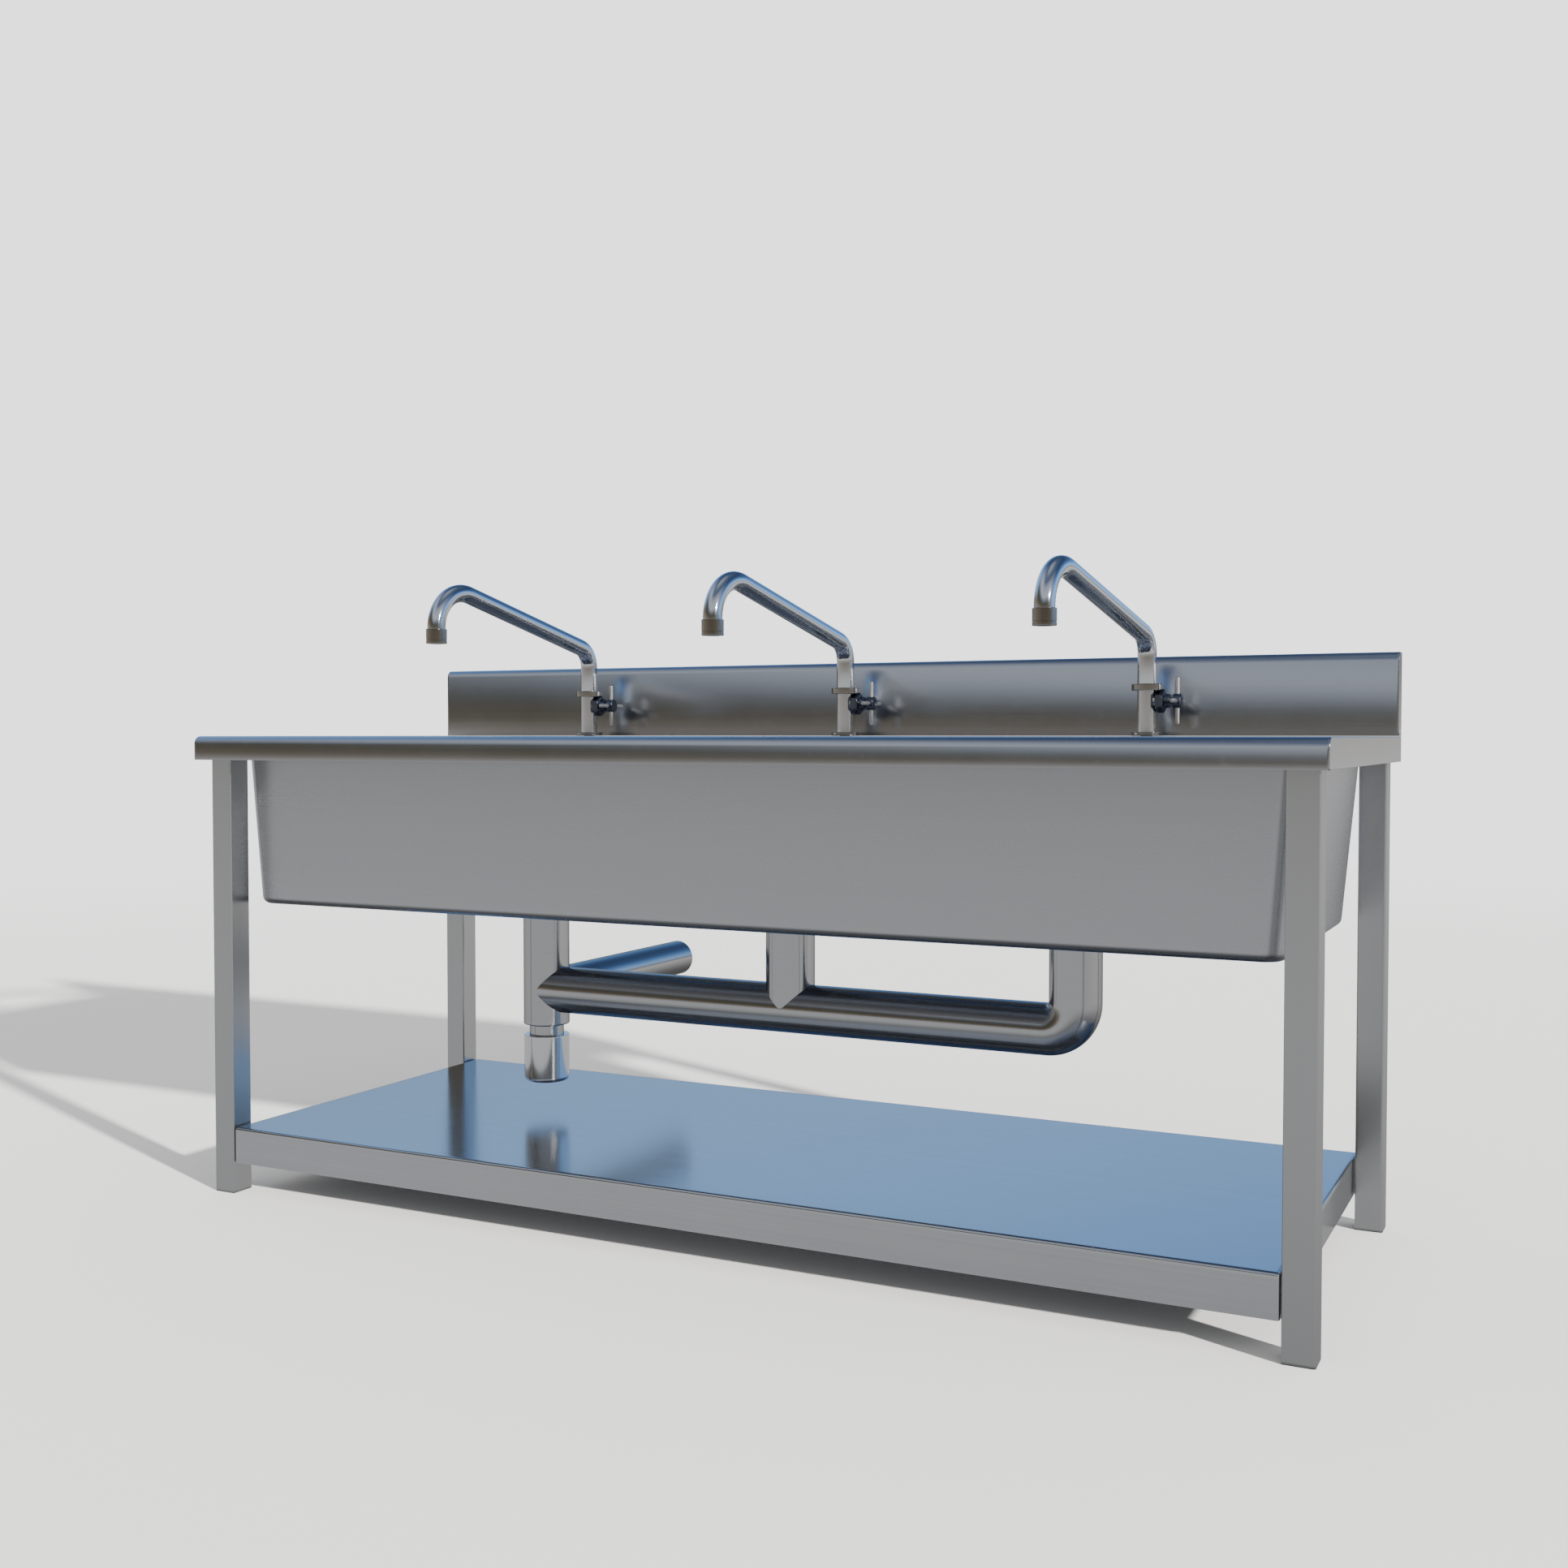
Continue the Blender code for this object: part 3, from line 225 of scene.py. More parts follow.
def tube(path: np.ndarray, radius: np.ndarray, steps: int) -> np.ndarray:
    """Carries circles along a path in an upright plane: centre + radius (cos t side + sin t across).

    Side is the level direction square to the plane, and across is side x tangent, so the circles never twist.

    Args:
        path: Points (n, 3), all in one upright plane.
        radius: Radius of each circle.
        steps: Points round a circle.

    Returns:
        Rings as an array (row, point, xyz).
    """
    tangent = np.gradient(path, axis=0)
    tangent /= np.linalg.norm(tangent, axis=1, keepdims=True)
    level = path[-1] - path[0]
    side = np.array((-level[1], level[0], 0.0)) / np.hypot(level[0], level[1])
    across = np.cross(side, tangent)
    angle = np.arange(steps) * FULL / steps
    circle = np.cos(angle)[None, :, None] * side + np.sin(angle)[None, :, None] * across[:, None, :]
    return path[:, None, :] + radius[:, None, None] * circle


def quads_between(count_rings: int, count: int, closing: Closing) -> np.ndarray:
    """Corner numbers of the four sided faces between neighbouring rings."""
    index = np.arange(count_rings * count).reshape(count_rings, count)
    if closing is Closing.LOOP:
        index = np.vstack((index, index[:1]))
    index = np.hstack((index, index[:, :1]))
    corners = (index[:-1, :-1], index[:-1, 1:], index[1:, 1:], index[1:, :-1])
    return np.stack(corners, axis=-1).reshape(-1, 4)


def volume_of(points: np.ndarray, triangles: np.ndarray) -> float:
    """Signed volume, above nought where faces point out: a sixth of the triangles' sum of a . (b x c)."""
    a, b, c = (points[triangles[:, k]] for k in range(3))
    return float(np.sum(a * np.cross(b, c)) / 6)


def surface(name: str, rings: np.ndarray, closing: Closing) -> bpy.types.Object:
    """Makes one closed mesh object from rings of equally many points.

    Faces run between neighbouring rings, and they are turned round together if the volume comes out below
    nought.

    Args:
        name: Name of the piece.
        rings: Array (row, point, xyz).
        closing: Loop, or flat caps at the first and last ring.

    Returns:
        The linked object, at the origin.
    """
    count_rings, count = rings.shape[:2]
    points = rings.reshape(-1, 3)
    quads = quads_between(count_rings, count, closing)
    fans = [quads[:, (0, 1, 2)], quads[:, (0, 2, 3)]]
    caps = []
    if closing is Closing.CAPS:
        first = np.arange(count)[::-1]
        last = np.arange(count) + count * (count_rings - 1)
        caps = [first, last]
        fans += [np.stack((np.full(count - 2, cap[0]), cap[1:-1], cap[2:]), axis=1) for cap in caps]
    if volume_of(points - points.mean(0), np.concatenate(fans)) < 0:
        quads = quads[:, ::-1]
        caps = [cap[::-1] for cap in caps]
    mesh = bpy.data.meshes.new(name)
    mesh.from_pydata(points.tolist(), [], quads.tolist() + [cap.tolist() for cap in caps])
    mesh.shade_smooth()
    mesh.set_sharp_from_angle(angle=SHARP_EDGE)
    item = bpy.data.objects.new(name, mesh)
    bpy.context.scene.collection.objects.link(item)
    return item


def sweep_marks(item: bpy.types.Object, rings: np.ndarray) -> None:
    """Keeps a straightened place as the attribute grain: length along the sweep, then place in the ring.

    Args:
        item: Piece made from the rings.
        rings: Array (row, point, xyz).
    """
    middles = rings.mean(axis=1)
    steps = np.linalg.norm(np.diff(middles, axis=0), axis=1)
    along = np.concatenate(([0.0], np.cumsum(steps)))
    angle = np.arange(rings.shape[1]) * FULL / rings.shape[1]
    radius = np.linalg.norm(rings - middles[:, None, :], axis=-1)
    length = np.repeat(along[:, None], rings.shape[1], axis=1)
    straight = np.stack((length, radius * np.cos(angle), radius * np.sin(angle)), axis=-1)
    marks = item.data.attributes.new("grain", "FLOAT_VECTOR", "POINT")
    marks.data.foreach_set("vector", straight.astype(np.float32).ravel())


def combined(item: bpy.types.Object, others: list[bpy.types.Object], joining: Joining) -> None:
    """Cuts other closed meshes out of a piece or joins them to it, keeps the result and removes the others.

    Joined meshes bring their own materials.

    Args:
        item: Piece that stays.
        others: Pieces that it meets.
        joining: What they do to it.
    """
    for other in others:
        step = item.modifiers.new(other.name, "BOOLEAN")
        step.operation = joining.value
        step.solver = "EXACT"
        if joining is Joining.JOIN:
            step.material_mode = "TRANSFER"
        step.object = other
    evaluated = item.evaluated_get(bpy.context.evaluated_depsgraph_get())
    mesh = bpy.data.meshes.new_from_object(evaluated)
    item.modifiers.clear()
    item.data = mesh
    mesh.name = item.name
    for other in others:
        bpy.data.objects.remove(other, do_unlink=True)
    mesh.set_sharp_from_angle(angle=SHARP_EDGE)


def drilled(
    item: bpy.types.Object, spots: np.ndarray, radius: float, low: float, high: float, steps: int
) -> None:
    """Drills upright holes through a piece and keeps the cut mesh.

    The drills are one mesh: a unit circle times the radius, moved to each spot at the low and the high level.

    Args:
        item: Piece to drill.
        spots: Middles of the holes, rows of x, y.
        radius: Radius of the holes.
        low: Lowest level of the drills.
        high: Highest level of the drills.
        steps: Points round one hole.
    """
    angle = np.arange(steps) * FULL / steps
    ring = radius * np.stack((np.cos(angle), np.sin(angle)), axis=1)
    flat = np.repeat((spots[:, None, None, :] + ring[None, None, :, :]), 2, axis=1)
    level = np.broadcast_to(np.array((low, high))[None, :, None, None], flat.shape[:3] + (1,))
    points = np.concatenate((flat, level), axis=-1).reshape(-1, 3)
    start = 2 * steps * np.arange(len(spots))[:, None]
    near = np.arange(steps)
    after = (near + 1) % steps
    walls = np.stack((near, after, after + steps, near + steps), axis=-1)
    faces = (start[:, :, None] + walls[None, :, :]).reshape(-1, 4).tolist()
    faces += (start + near[None, ::-1]).tolist() + (start + steps + near[None, :]).tolist()
    mesh = bpy.data.meshes.new("drill")
    mesh.from_pydata(points.tolist(), [], faces)
    drill = bpy.data.objects.new("drill", mesh)
    bpy.context.scene.collection.objects.link(drill)
    combined(item, [drill], Joining.CUT)


def headed(points: np.ndarray, degrees: float, about: tuple[float, float]) -> np.ndarray:
    """Turns points about the upright axis, (x cos a - y sin a, x sin a + y cos a), and moves them."""
    cosine, sine = math.cos(math.radians(degrees)), math.sin(math.radians(degrees))
    spin = np.array([[cosine, sine, 0], [-sine, cosine, 0], [0, 0, 1]])
    return points @ spin + np.array((*about, 0.0))


# ------------------------------------------------------------------------------------ finishes
class Grain(Enum):
    """Which way polishing lines run, as the source of the pattern's place and its scale along each axis."""

    ALONG_X = ("Object", (1.6, 420.0, 420.0))
    ALONG_Z = ("Object", (420.0, 420.0, 2.2))
    LEVEL_RINGS = ("Object", (7.0, 7.0, 900.0))
    UPRIGHT_RINGS = ("Object", (900.0, 7.0, 7.0))
    ROUND_TUBE = ("grain", (650.0, 9.0, 9.0))
    NONE = ("Object", (160.0, 160.0, 160.0))


class Mottle(Enum):
    """A pattern of noise: its scale, detail and roughness."""

    FINE_LINES = (1.0, 4.0, 0.6)
    BROAD_LINES = (0.22, 2.0, 0.55)
    CLOUDS = (3.1, 4.0, 0.6)
    HAND_MARKS = (17.0, 3.0, 0.5)
    DROPS = (62.0, 1.0, 0.3)
    PITS = (900.0, 2.0, 0.55)
    DUST = (40.0, 4.0, 0.55)


Socket = bpy.types.NodeSocket
Shares = dict[Mottle, float]
TONE_SHARES: Shares = {
    Mottle.FINE_LINES: 0.5, Mottle.BROAD_LINES: 0.45, Mottle.CLOUDS: 0.55, Mottle.HAND_MARKS: 0.15,
}
HAZE_SHARES: Shares = {
    Mottle.FINE_LINES: 0.45, Mottle.BROAD_LINES: 0.3, Mottle.CLOUDS: 0.7, Mottle.HAND_MARKS: 0.35,
}
RELIEF_SHARES: Shares = {Mottle.FINE_LINES: 0.8, Mottle.BROAD_LINES: 0.2}
DUST_SHARES: Shares = {Mottle.PITS: 0.3, Mottle.DUST: 0.7}
# The sums run over these spans: from the dark to the light colour, from smooth to dull, and from dry to wet.
TONE_BASE = -0.33
TONE_SPAN = (0.2, 0.85)
HAZE_SPAN = (0.65, 1.25)
DROP_SPAN = (0.66, 0.74)
DUST_TONE_SPAN = (0.35, 0.7)
DUST_HAZE_SPAN = (0.3, 0.7)


class Graph:
    """A node tree, with short ways to add and join nodes."""

    def __init__(self, tree: bpy.types.NodeTree) -> None:
        """Takes the tree to work on."""
        self.nodes = tree.nodes
        self.links = tree.links

    def add(self, kind: str, feeds: dict | None = None, **settings: object) -> bpy.types.Node:
        """Adds a node.

        Args:
            kind: Node type without its ShaderNode prefix.
            feeds: Input name or number to a value, or to a socket to link.
            settings: Properties of the node.

        Returns:
            The new node.
        """
        node = self.nodes.new("ShaderNode" + kind)
        for key, value in settings.items():
            setattr(node, key, value)
        for key, value in (feeds or {}).items():
            self.feed(node, key, value)
        return node

    def feed(self, node: bpy.types.Node, key: str | int, value: object) -> None:
        """Sets one input to a value, or links a socket to it."""
        if isinstance(value, Socket):
            self.links.new(value, node.inputs[key])
        else:
            node.inputs[key].default_value = value

    def plus(self, total: object, socket: Socket, weight: float) -> Socket:
        """A total with weight * socket added."""
        return self.add("Math", {0: socket, 1: weight, 2: total}, operation="MULTIPLY_ADD").outputs[0]

    def sum_of(self, noises: dict[Mottle, Socket], shares: Shares, base: float = 0.0) -> Socket:
        """Weighted sum of noises: base + share * noise for each, in a chain of multiply and add.

        Args:
            noises: Sockets of the noises.
            shares: Weights of those that count.
            base: Constant to start from.

        Returns:
            Socket of the sum.
        """
        total: object = base
        for mottle, share in shares.items():
            total = self.plus(total, noises[mottle], share)
        return total

    def ranged(self, value: object, span: tuple[float, float], to_low: float, to_high: float) -> Socket:
        """Maps a span to to_low..to_high in a straight line, held at both ends."""
        low, high = span
        feeds = {"Value": value, "From Min": low, "From Max": high, "To Min": to_low, "To Max": to_high}
        return self.add("MapRange", feeds).outputs[0]

    def ramp(self, value: object, stops: list[tuple[float, Colour]]) -> Socket:
        """Colour by value, blended between the stops."""
        node = self.add("ValToRGB", {0: value})
        elements = node.color_ramp.elements
        for element, (place, colour) in zip(elements, (stops[0], stops[-1])):
            element.position = place
            element.color = (*colour, 1.0)
        for place, colour in stops[1:-1]:
            element = elements.new(place)
            element.color = (*colour, 1.0)
        return node.outputs[0]

    def noise(self, place: object, mottle: Mottle) -> Socket:
        """Noise value at a place."""
        scale, detail, roughness = mottle.value
        feeds = {"Vector": place, "Scale": scale, "Detail": detail, "Roughness": roughness}
        return self.add("TexNoise", feeds).outputs[0]

    def place(self, source: str) -> Socket:
        """Place on the piece: Object coordinates, or a named attribute."""
        if source == "Object":
            return self.add("TexCoord").outputs["Object"]
        return self.add("Attribute", attribute_name=source).outputs["Vector"]

    def stretched(self, place: object, scale: tuple[float, float, float]) -> Socket:
        """Place with each axis scaled, which draws a pattern out along the axis of the smallest scale."""
        return self.add("Mapping", {"Vector": place, "Scale": scale}).outputs[0]


class Coat(Graph):
    """The nodes of a new material, round its shader."""

    def __init__(self, name: str) -> None:
        """Starts a node material of that name."""
        self.material = bpy.data.materials.new(name)
        self.material.use_nodes = True
        super().__init__(self.material.node_tree)
        self.shader = self.nodes["Principled BSDF"]


@dataclass(frozen=True)
class Metal:
    """A polished, brushed or plated metal surface.

    Fields: name, colour in the dips and on the crests of the polishing lines, lowest and highest roughness,
    way of the lines, depth of the lines in metres, share of dull water marks, and what the metal keeps of its
    shine at a glancing angle.
    """

    name: str
    dark: Colour
    light: Colour
    smooth: float
    dull: float
    grain: Grain
    relief: float
    marks: float = 0.2
    edge: float = 1.0

    def material(self) -> bpy.types.Material:
        """The finish as a node material, made once."""
        known = bpy.data.materials.get(self.name)
        if known:
            return known
        graph = Coat(self.name)
        source, scale = self.grain.value
        whole = graph.place("Object")
        lines = graph.stretched(graph.place(source), scale)
        noises = {
            Mottle.FINE_LINES: graph.noise(lines, Mottle.FINE_LINES),
            Mottle.BROAD_LINES: graph.noise(lines, Mottle.BROAD_LINES),
            Mottle.CLOUDS: graph.noise(whole, Mottle.CLOUDS),
            Mottle.HAND_MARKS: graph.noise(whole, Mottle.HAND_MARKS),
        }
        drops = graph.ranged(graph.noise(whole, Mottle.DROPS), DROP_SPAN, 0.0, 1.0)
        tone = graph.sum_of(noises, TONE_SHARES, TONE_BASE)
        stops = list(zip(TONE_SPAN, (self.dark, self.light)))
        graph.feed(graph.shader, "Base Color", graph.ramp(tone, stops))
        haze = graph.plus(graph.sum_of(noises, HAZE_SHARES), drops, self.marks)
        graph.feed(graph.shader, "Roughness", graph.ranged(haze, HAZE_SPAN, self.smooth, self.dull))
        relief = graph.sum_of(noises, RELIEF_SHARES)
        bump = graph.add("Bump", {"Height": relief, "Distance": self.relief, "Strength": 1.0})
        graph.feed(graph.shader, "Normal", bump.outputs[0])
        graph.shader.inputs["Metallic"].default_value = 1.0
        graph.shader.inputs["Specular Tint"].default_value = (self.edge, self.edge, self.edge, 1)
        return graph.material


@dataclass(frozen=True)
class Moulding:
    """A moulded plastic surface with a fine spark eroded texture. The depth of its pits is in metres."""

    name: str
    dark: Colour
    light: Colour
    smooth: float = 0.42
    dull: float = 0.62
    pit_depth: float = 0.00005
    pit_strength: float = 0.6

    def material(self) -> bpy.types.Material:
        """The finish as a node material, made once."""
        known = bpy.data.materials.get(self.name)
        if known:
            return known
        graph = Coat(self.name)
        whole = graph.place("Object")
        noises = {mottle: graph.noise(whole, mottle) for mottle in DUST_SHARES}
        tone = graph.sum_of(noises, DUST_SHARES)
        stops = list(zip(DUST_TONE_SPAN, (self.dark, self.light)))
        graph.feed(graph.shader, "Base Color", graph.ramp(tone, stops))
        gloss = graph.ranged(noises[Mottle.DUST], DUST_HAZE_SPAN, self.smooth, self.dull)
        graph.feed(graph.shader, "Roughness", gloss)
        feeds = {"Height": noises[Mottle.PITS], "Distance": self.pit_depth, "Strength": self.pit_strength}
        bump = graph.add("Bump", feeds)
        graph.feed(graph.shader, "Normal", bump.outputs[0])
        return graph.material


SHEET_STEEL = Metal(
    "satin_sheet_steel", (0.57, 0.58, 0.60), (0.64, 0.65, 0.67), 0.20, 0.26, Grain.ALONG_X, 1e-6, edge=0.95
)
SHELF_STEEL = Metal(
    "shelf_sheet_steel", (0.57, 0.58, 0.60), (0.67, 0.68, 0.70), 0.15, 0.20, Grain.ALONG_X, 1e-6, edge=0.85
)
TUB_STEEL = Metal(
    "matt_tub_steel", (0.58, 0.59, 0.61), (0.62, 0.63, 0.655), 0.26, 0.29, Grain.ALONG_X, 3e-7, 0.1, 0.85
)
LEG_STEEL = Metal(
    "brushed_leg_steel", (0.55, 0.55, 0.55), (0.59, 0.59, 0.59), 0.24, 0.28, Grain.ALONG_Z, 5e-7, 0.1, 0.8
)
PIPE_STEEL = Metal(
    "bright_pipe_steel", (0.53, 0.53, 0.54), (0.59, 0.59, 0.60), 0.13, 0.18, Grain.ROUND_TUBE, 5e-7, edge=0.45
)
CHROME = Metal(
    "polished_chrome", (0.56, 0.565, 0.575), (0.66, 0.665, 0.675), 0.06, 0.11, Grain.NONE, 1.5e-7, 0.15, 0.6
)
NICKEL = Metal(
    "satin_nickel", (0.72, 0.70, 0.65), (0.86, 0.83, 0.77), 0.40, 0.50, Grain.LEVEL_RINGS, 2e-6, edge=0.7
)
BAR_STEEL = Metal(
    "handle_bar_steel", (0.74, 0.72, 0.69), (0.86, 0.84, 0.81), 0.34, 0.44, Grain.NONE, 5e-7, edge=0.7
)
SMOKED = Metal(
    "smoked_chrome", (0.10, 0.115, 0.145), (0.20, 0.22, 0.27), 0.16, 0.28, Grain.UPRIGHT_RINGS, 2e-6, edge=0.7
)
PLUG_BLACK = Moulding("black_moulding", (0.018, 0.018, 0.019), (0.045, 0.045, 0.047))
Finish = Metal | Moulding


def fitted(item: bpy.types.Object, finish: Finish | None, slot: str, body: str, *nodes: str) -> None:
    """Dresses a piece, ties it to its body and lets it stand for frame nodes.

    Args:
        item: The piece.
        finish: Its surface, or nothing for a piece that has its own already.
        slot: The record's material slot; not used.
        body: The frame body it moves with.
        nodes: Frame nodes it stands for.
    """
    if finish is not None:
        item.data.materials.clear()
        item.data.materials.append(finish.material())
    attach(item, body)
    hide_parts(*nodes)
    LOG.info("%s: %d faces, on %s", item.name, len(item.data.polygons), body)


def kept(node: str, finish: Finish) -> None:
    """Gives a frame node that stays in view its surface."""
    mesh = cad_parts[node].data
    mesh.materials.clear()
    mesh.materials.append(finish.material())
    LOG.info("%s: kept from the frame", node)


# ------------------------------------------------------------------------------------ worktop and splash
@dataclass
class Worktop:
    """Folded worktop with a round front nose, and the folded splash at its back.

    Both front faces are a touch full, as rolled sheet is: each lean is how far the light catches the face as
    leaning back just under the nose, in degrees, and it falls to nought at the foot.
    """

    apron_lean: float = 14.0
    splash_lean: float = 19.0
    face_rows: int = 12
    arc_rows: int = 11
    top_steps: int = 6
    splash_steps: int = 5
    sheet: float = 0.002
    nose: float = 0.015
    bend: float = 0.0015
    least_bend: float = 0.0004
    corner: float = 0.0012
    end_strip: float = 0.0025
    gap: float = 0.004
    rim: float = 0.005
    opening_corner: float = 0.033
    opening_edge: float = 0.0008

    def drawn_in(self, z: np.ndarray, top: float, radius: float) -> np.ndarray:
        """How far a round edge lies behind its face: r - sqrt(r^2 - d^2), d being the height up the arc."""
        rise = np.clip(z - (top - radius), 0.0, radius)
        return radius - np.sqrt(radius**2 - rise**2)

    def skin(self, low: np.ndarray, high: np.ndarray, inset: float, bottom: float) -> np.ndarray:
        """Level rectangles up one side of the sheet, from the foot to the top, both round edges included.

        Args:
            low: Lowest corner of the folded piece.
            high: Highest corner.
            inset: Distance behind the outer side.
            bottom: Level of the foot.

        Returns:
            Rows for level_rectangles.
        """
        top = high[2] - inset
        nose, bend = self.nose - inset, max(self.bend - inset, self.least_bend)
        below = 1 - np.sin(np.radians(np.linspace(0, 90, self.arc_rows)))
        face = np.linspace(bottom, top - nose, self.face_rows)
        z = np.unique(np.concatenate((face, top - nose * below, top - bend * below)).round(DECIMALS))
        front = low[1] + inset + self.drawn_in(z, top, nose)
        ends = inset + self.drawn_in(z, top, bend)
        corner = np.full_like(z, self.corner)
        return np.stack((low[0] + ends, high[0] - ends, front, high[1] - ends, z, corner), axis=1)

    def full_face(self, item: bpy.types.Object, low: np.ndarray, high: np.ndarray, lean: float) -> None:
        """Gives the front face the shading of a slightly full sheet.

        The normal is (0, -cos a, sin a). Up the flat, a grows evenly from nought at the foot to the lean, and
        over the nose it grows from the lean to 90 degrees with the arc's own angle.

        Args:
            item: Piece whose front it is.
            low: Lowest corner of the piece.
            high: Highest corner.
            lean: Angle at the top of the flat, in degrees.
        """
        mesh = item.data
        co = np.empty(len(mesh.vertices) * 3)
        mesh.vertices.foreach_get("co", co)
        x, y, z = co.reshape(-1, 3).T
        arc_start = high[2] - self.nose
        front = low[1] + self.drawn_in(z, high[2], self.nose)
        between = (x > low[0] + self.end_strip) & (x < high[0] - self.end_strip)
        on_face = (np.abs(y - front) < ON_SKIN) & between
        rise = np.clip((z - low[2]) / (arc_start - low[2]), 0, 1)
        own = np.degrees(np.arcsin(np.clip((z - arc_start) / self.nose, 0, 1)))
        angle = np.radians(rise * lean + own * (1 - lean / 90))
        normals = np.stack((np.zeros_like(x), -np.cos(angle), np.sin(angle)), axis=1) * on_face[:, None]
        mesh.normals_split_custom_set_from_vertices(normals.tolist())

    def build_top(self) -> None:
        """The worktop: outer skin, lip down into the opening, and inner skin, as one closed loop of rings."""
        low, high = box_of("worktop")
        tub_low, tub_high = box_of("sink_tub")
        rim, edge, corner = self.rim, self.opening_edge, self.opening_corner
        hole = np.array((tub_low[0] + rim, tub_high[0] - rim, tub_low[1] + rim, tub_high[1] - rim))
        outward = np.array((-1, 1, -1, 1))
        part = edge * ARC_MIDDLE
        lip = np.array([
            (*hole, high[2] - self.sheet, corner),
            (*hole, high[2] - edge, corner),
            (*(hole + part * outward), high[2] - part, corner + part),
            (*(hole + edge * outward), high[2], corner + edge),
        ])
        outside = self.skin(low, high, 0.0, low[2])[::-1]
        inside = self.skin(low, high, self.sheet, low[2])
        stack = supported(np.concatenate((lip, outside, inside)), self.gap)
        item = surface("worktop_skin", level_rectangles(stack, self.top_steps), Closing.LOOP)
        self.full_face(item, low, high, self.apron_lean)
        fitted(item, SHEET_STEEL, "satin_steel", FIXED, "worktop")

    def build_splash(self) -> None:
        """The splash: a closed upright fold with a round front top edge and a small bend at its foot."""
        low, high = box_of("backsplash")
        stack = supported(self.skin(low, high, 0.0, low[2]), self.gap)
        item = surface("splash_skin", level_rectangles(stack, self.splash_steps), Closing.CAPS)
        self.full_face(item, low, high, self.splash_lean)
        fitted(item, SHEET_STEEL, "satin_steel", FIXED, "backsplash")

    def build(self) -> None:
        """Worktop and splash."""
        self.build_top()
        self.build_splash()


# ------------------------------------------------------------------------------------ tub and dividers
@dataclass
class Basin:
    """The long tub with coved edges and three drain holes, and the two dividers that part it."""

    sheet: float = 0.002
    rim: float = 0.003
    corner: float = 0.035
    least_corner: float = 0.012
    cove: float = 0.013
    end_taper: float = 0.0292
    side_taper: float = 0.002
    gap: float = 0.006
    drain_bore: float = 0.0444
    cove_rows: int = 10
    corner_steps: int = 12
    bore_steps: int = 64
    # Dividers.
    crown_flat: float = 0.0005
    crown_rows: int = 9
    end_roundness: float = 0.6
    fillet: float = 0.004
    divider_corner: float = 0.0004
    divider_gap: float = 0.003
    divider_steps: int = 3

    def walls(self, z: np.ndarray, inset: np.ndarray, corner: np.ndarray) -> np.ndarray:
        """Level rectangles of the tub's wall: each side leans in evenly from the rim down, less an inset.

        Args:
            z: Levels.
            inset: Distance in from the outer wall at each level.
            corner: Corner radius at each level.

        Returns:
            Rows for level_rectangles.
        """
        low, high = box_of("sink_tub")
        share = (high[2] - z) / (high[2] - low[2])
        end = self.rim + inset + self.end_taper * share
        side = self.rim + inset + self.side_taper * share
        return np.stack((low[0] + end, high[0] - end, low[1] + side, high[1] - side, z, corner), axis=1)

    def skin(self, inset: float) -> np.ndarray:
        """One side of the sheet from the rim down the wall and round the cove to the floor.

        The cove is a quarter circle: drawn in by r (1 - cos t) at r (1 - sin t) above the floor.
        """
        low, high = box_of("sink_tub")
        floor, radius = low[2] + inset, self.cove - inset
        angle = np.radians(np.linspace(0, 90, self.cove_rows))
        z = np.concatenate(([high[2]], floor + radius * (1 - np.sin(angle))))
        drawn = np.concatenate(([0.0], radius * (1 - np.cos(angle))))
        return self.walls(z, inset + drawn, np.maximum(self.corner - inset - drawn, self.least_corner))

    def build_tub(self) -> None:
        """The tub: inner skin, narrow rim and outer skin, closed by its two floor faces, then drilled."""
        low, high = box_of("sink_tub")
        inside, outside = self.skin(self.sheet), self.skin(0.0)
        flat = np.array((high[2], high[2] - self.sheet))
        rim = self.walls(flat, np.full(2, -self.rim), np.full(2, self.corner + self.rim))
        rim[:, :4] = np.array((low[0], high[0], low[1], high[1]))
        under_rim = self.walls(flat[1:], np.zeros(1), np.full(1, self.corner))
        below = supported(np.concatenate((under_rim, outside[1:])), self.gap)
        stack = np.concatenate((supported(inside[::-1], self.gap), rim, below))
        item = surface("tub_skin", level_rectangles(stack, self.corner_steps, self.gap), Closing.CAPS)
        places = np.array([drain_place(side) for side in SIDES])
        drilled(item, places, self.drain_bore, low[2] - self.sheet, low[2] + 2 * self.sheet, self.bore_steps)
        fitted(item, TUB_STEEL, "tub_steel", FIXED, "sink_tub")

    def build_divider(self, side: str) -> None:
        """One divider: leaning ends that follow the tub, a round top and a small fillet at its foot.

        Args:
            side: left or right.
        """
        low, high = box_of("divider_" + side)
        crown, fillet = (high[0] - low[0]) / 2 - self.crown_flat, self.fillet
        rising = np.radians(np.linspace(0, 90, self.crown_rows))
        sine, cosine = np.sin(rising), np.cos(rising)
        z = np.concatenate((low[2] + fillet * (1 - cosine), high[2] - crown * (1 - sine)))
        grow = np.concatenate((fillet * (1 - sine), -crown * (1 - cosine)))
        lean = self.side_taper * (high[2] - z) / (high[2] - low[2])
        cove = self.cove - self.sheet
        rise = np.clip(cove - (z - low[2]), 0.0, cove)
        coved = cove - np.sqrt(cove**2 - rise**2)
        rounded = np.concatenate((np.zeros(self.crown_rows), crown * self.end_roundness * (1 - cosine)))
        end = lean + coved + rounded
        corner = np.full_like(z, self.divider_corner)
        stack = np.stack((low[0] - grow, high[0] + grow, low[1] + end, high[1] - end, z, corner), axis=1)
        rings = level_rectangles(supported(stack, self.divider_gap), self.divider_steps)
        item = surface(f"divider_{side}_wall", rings, Closing.CAPS)
        fitted(item, TUB_STEEL, "tub_steel", FIXED, "divider_" + side)

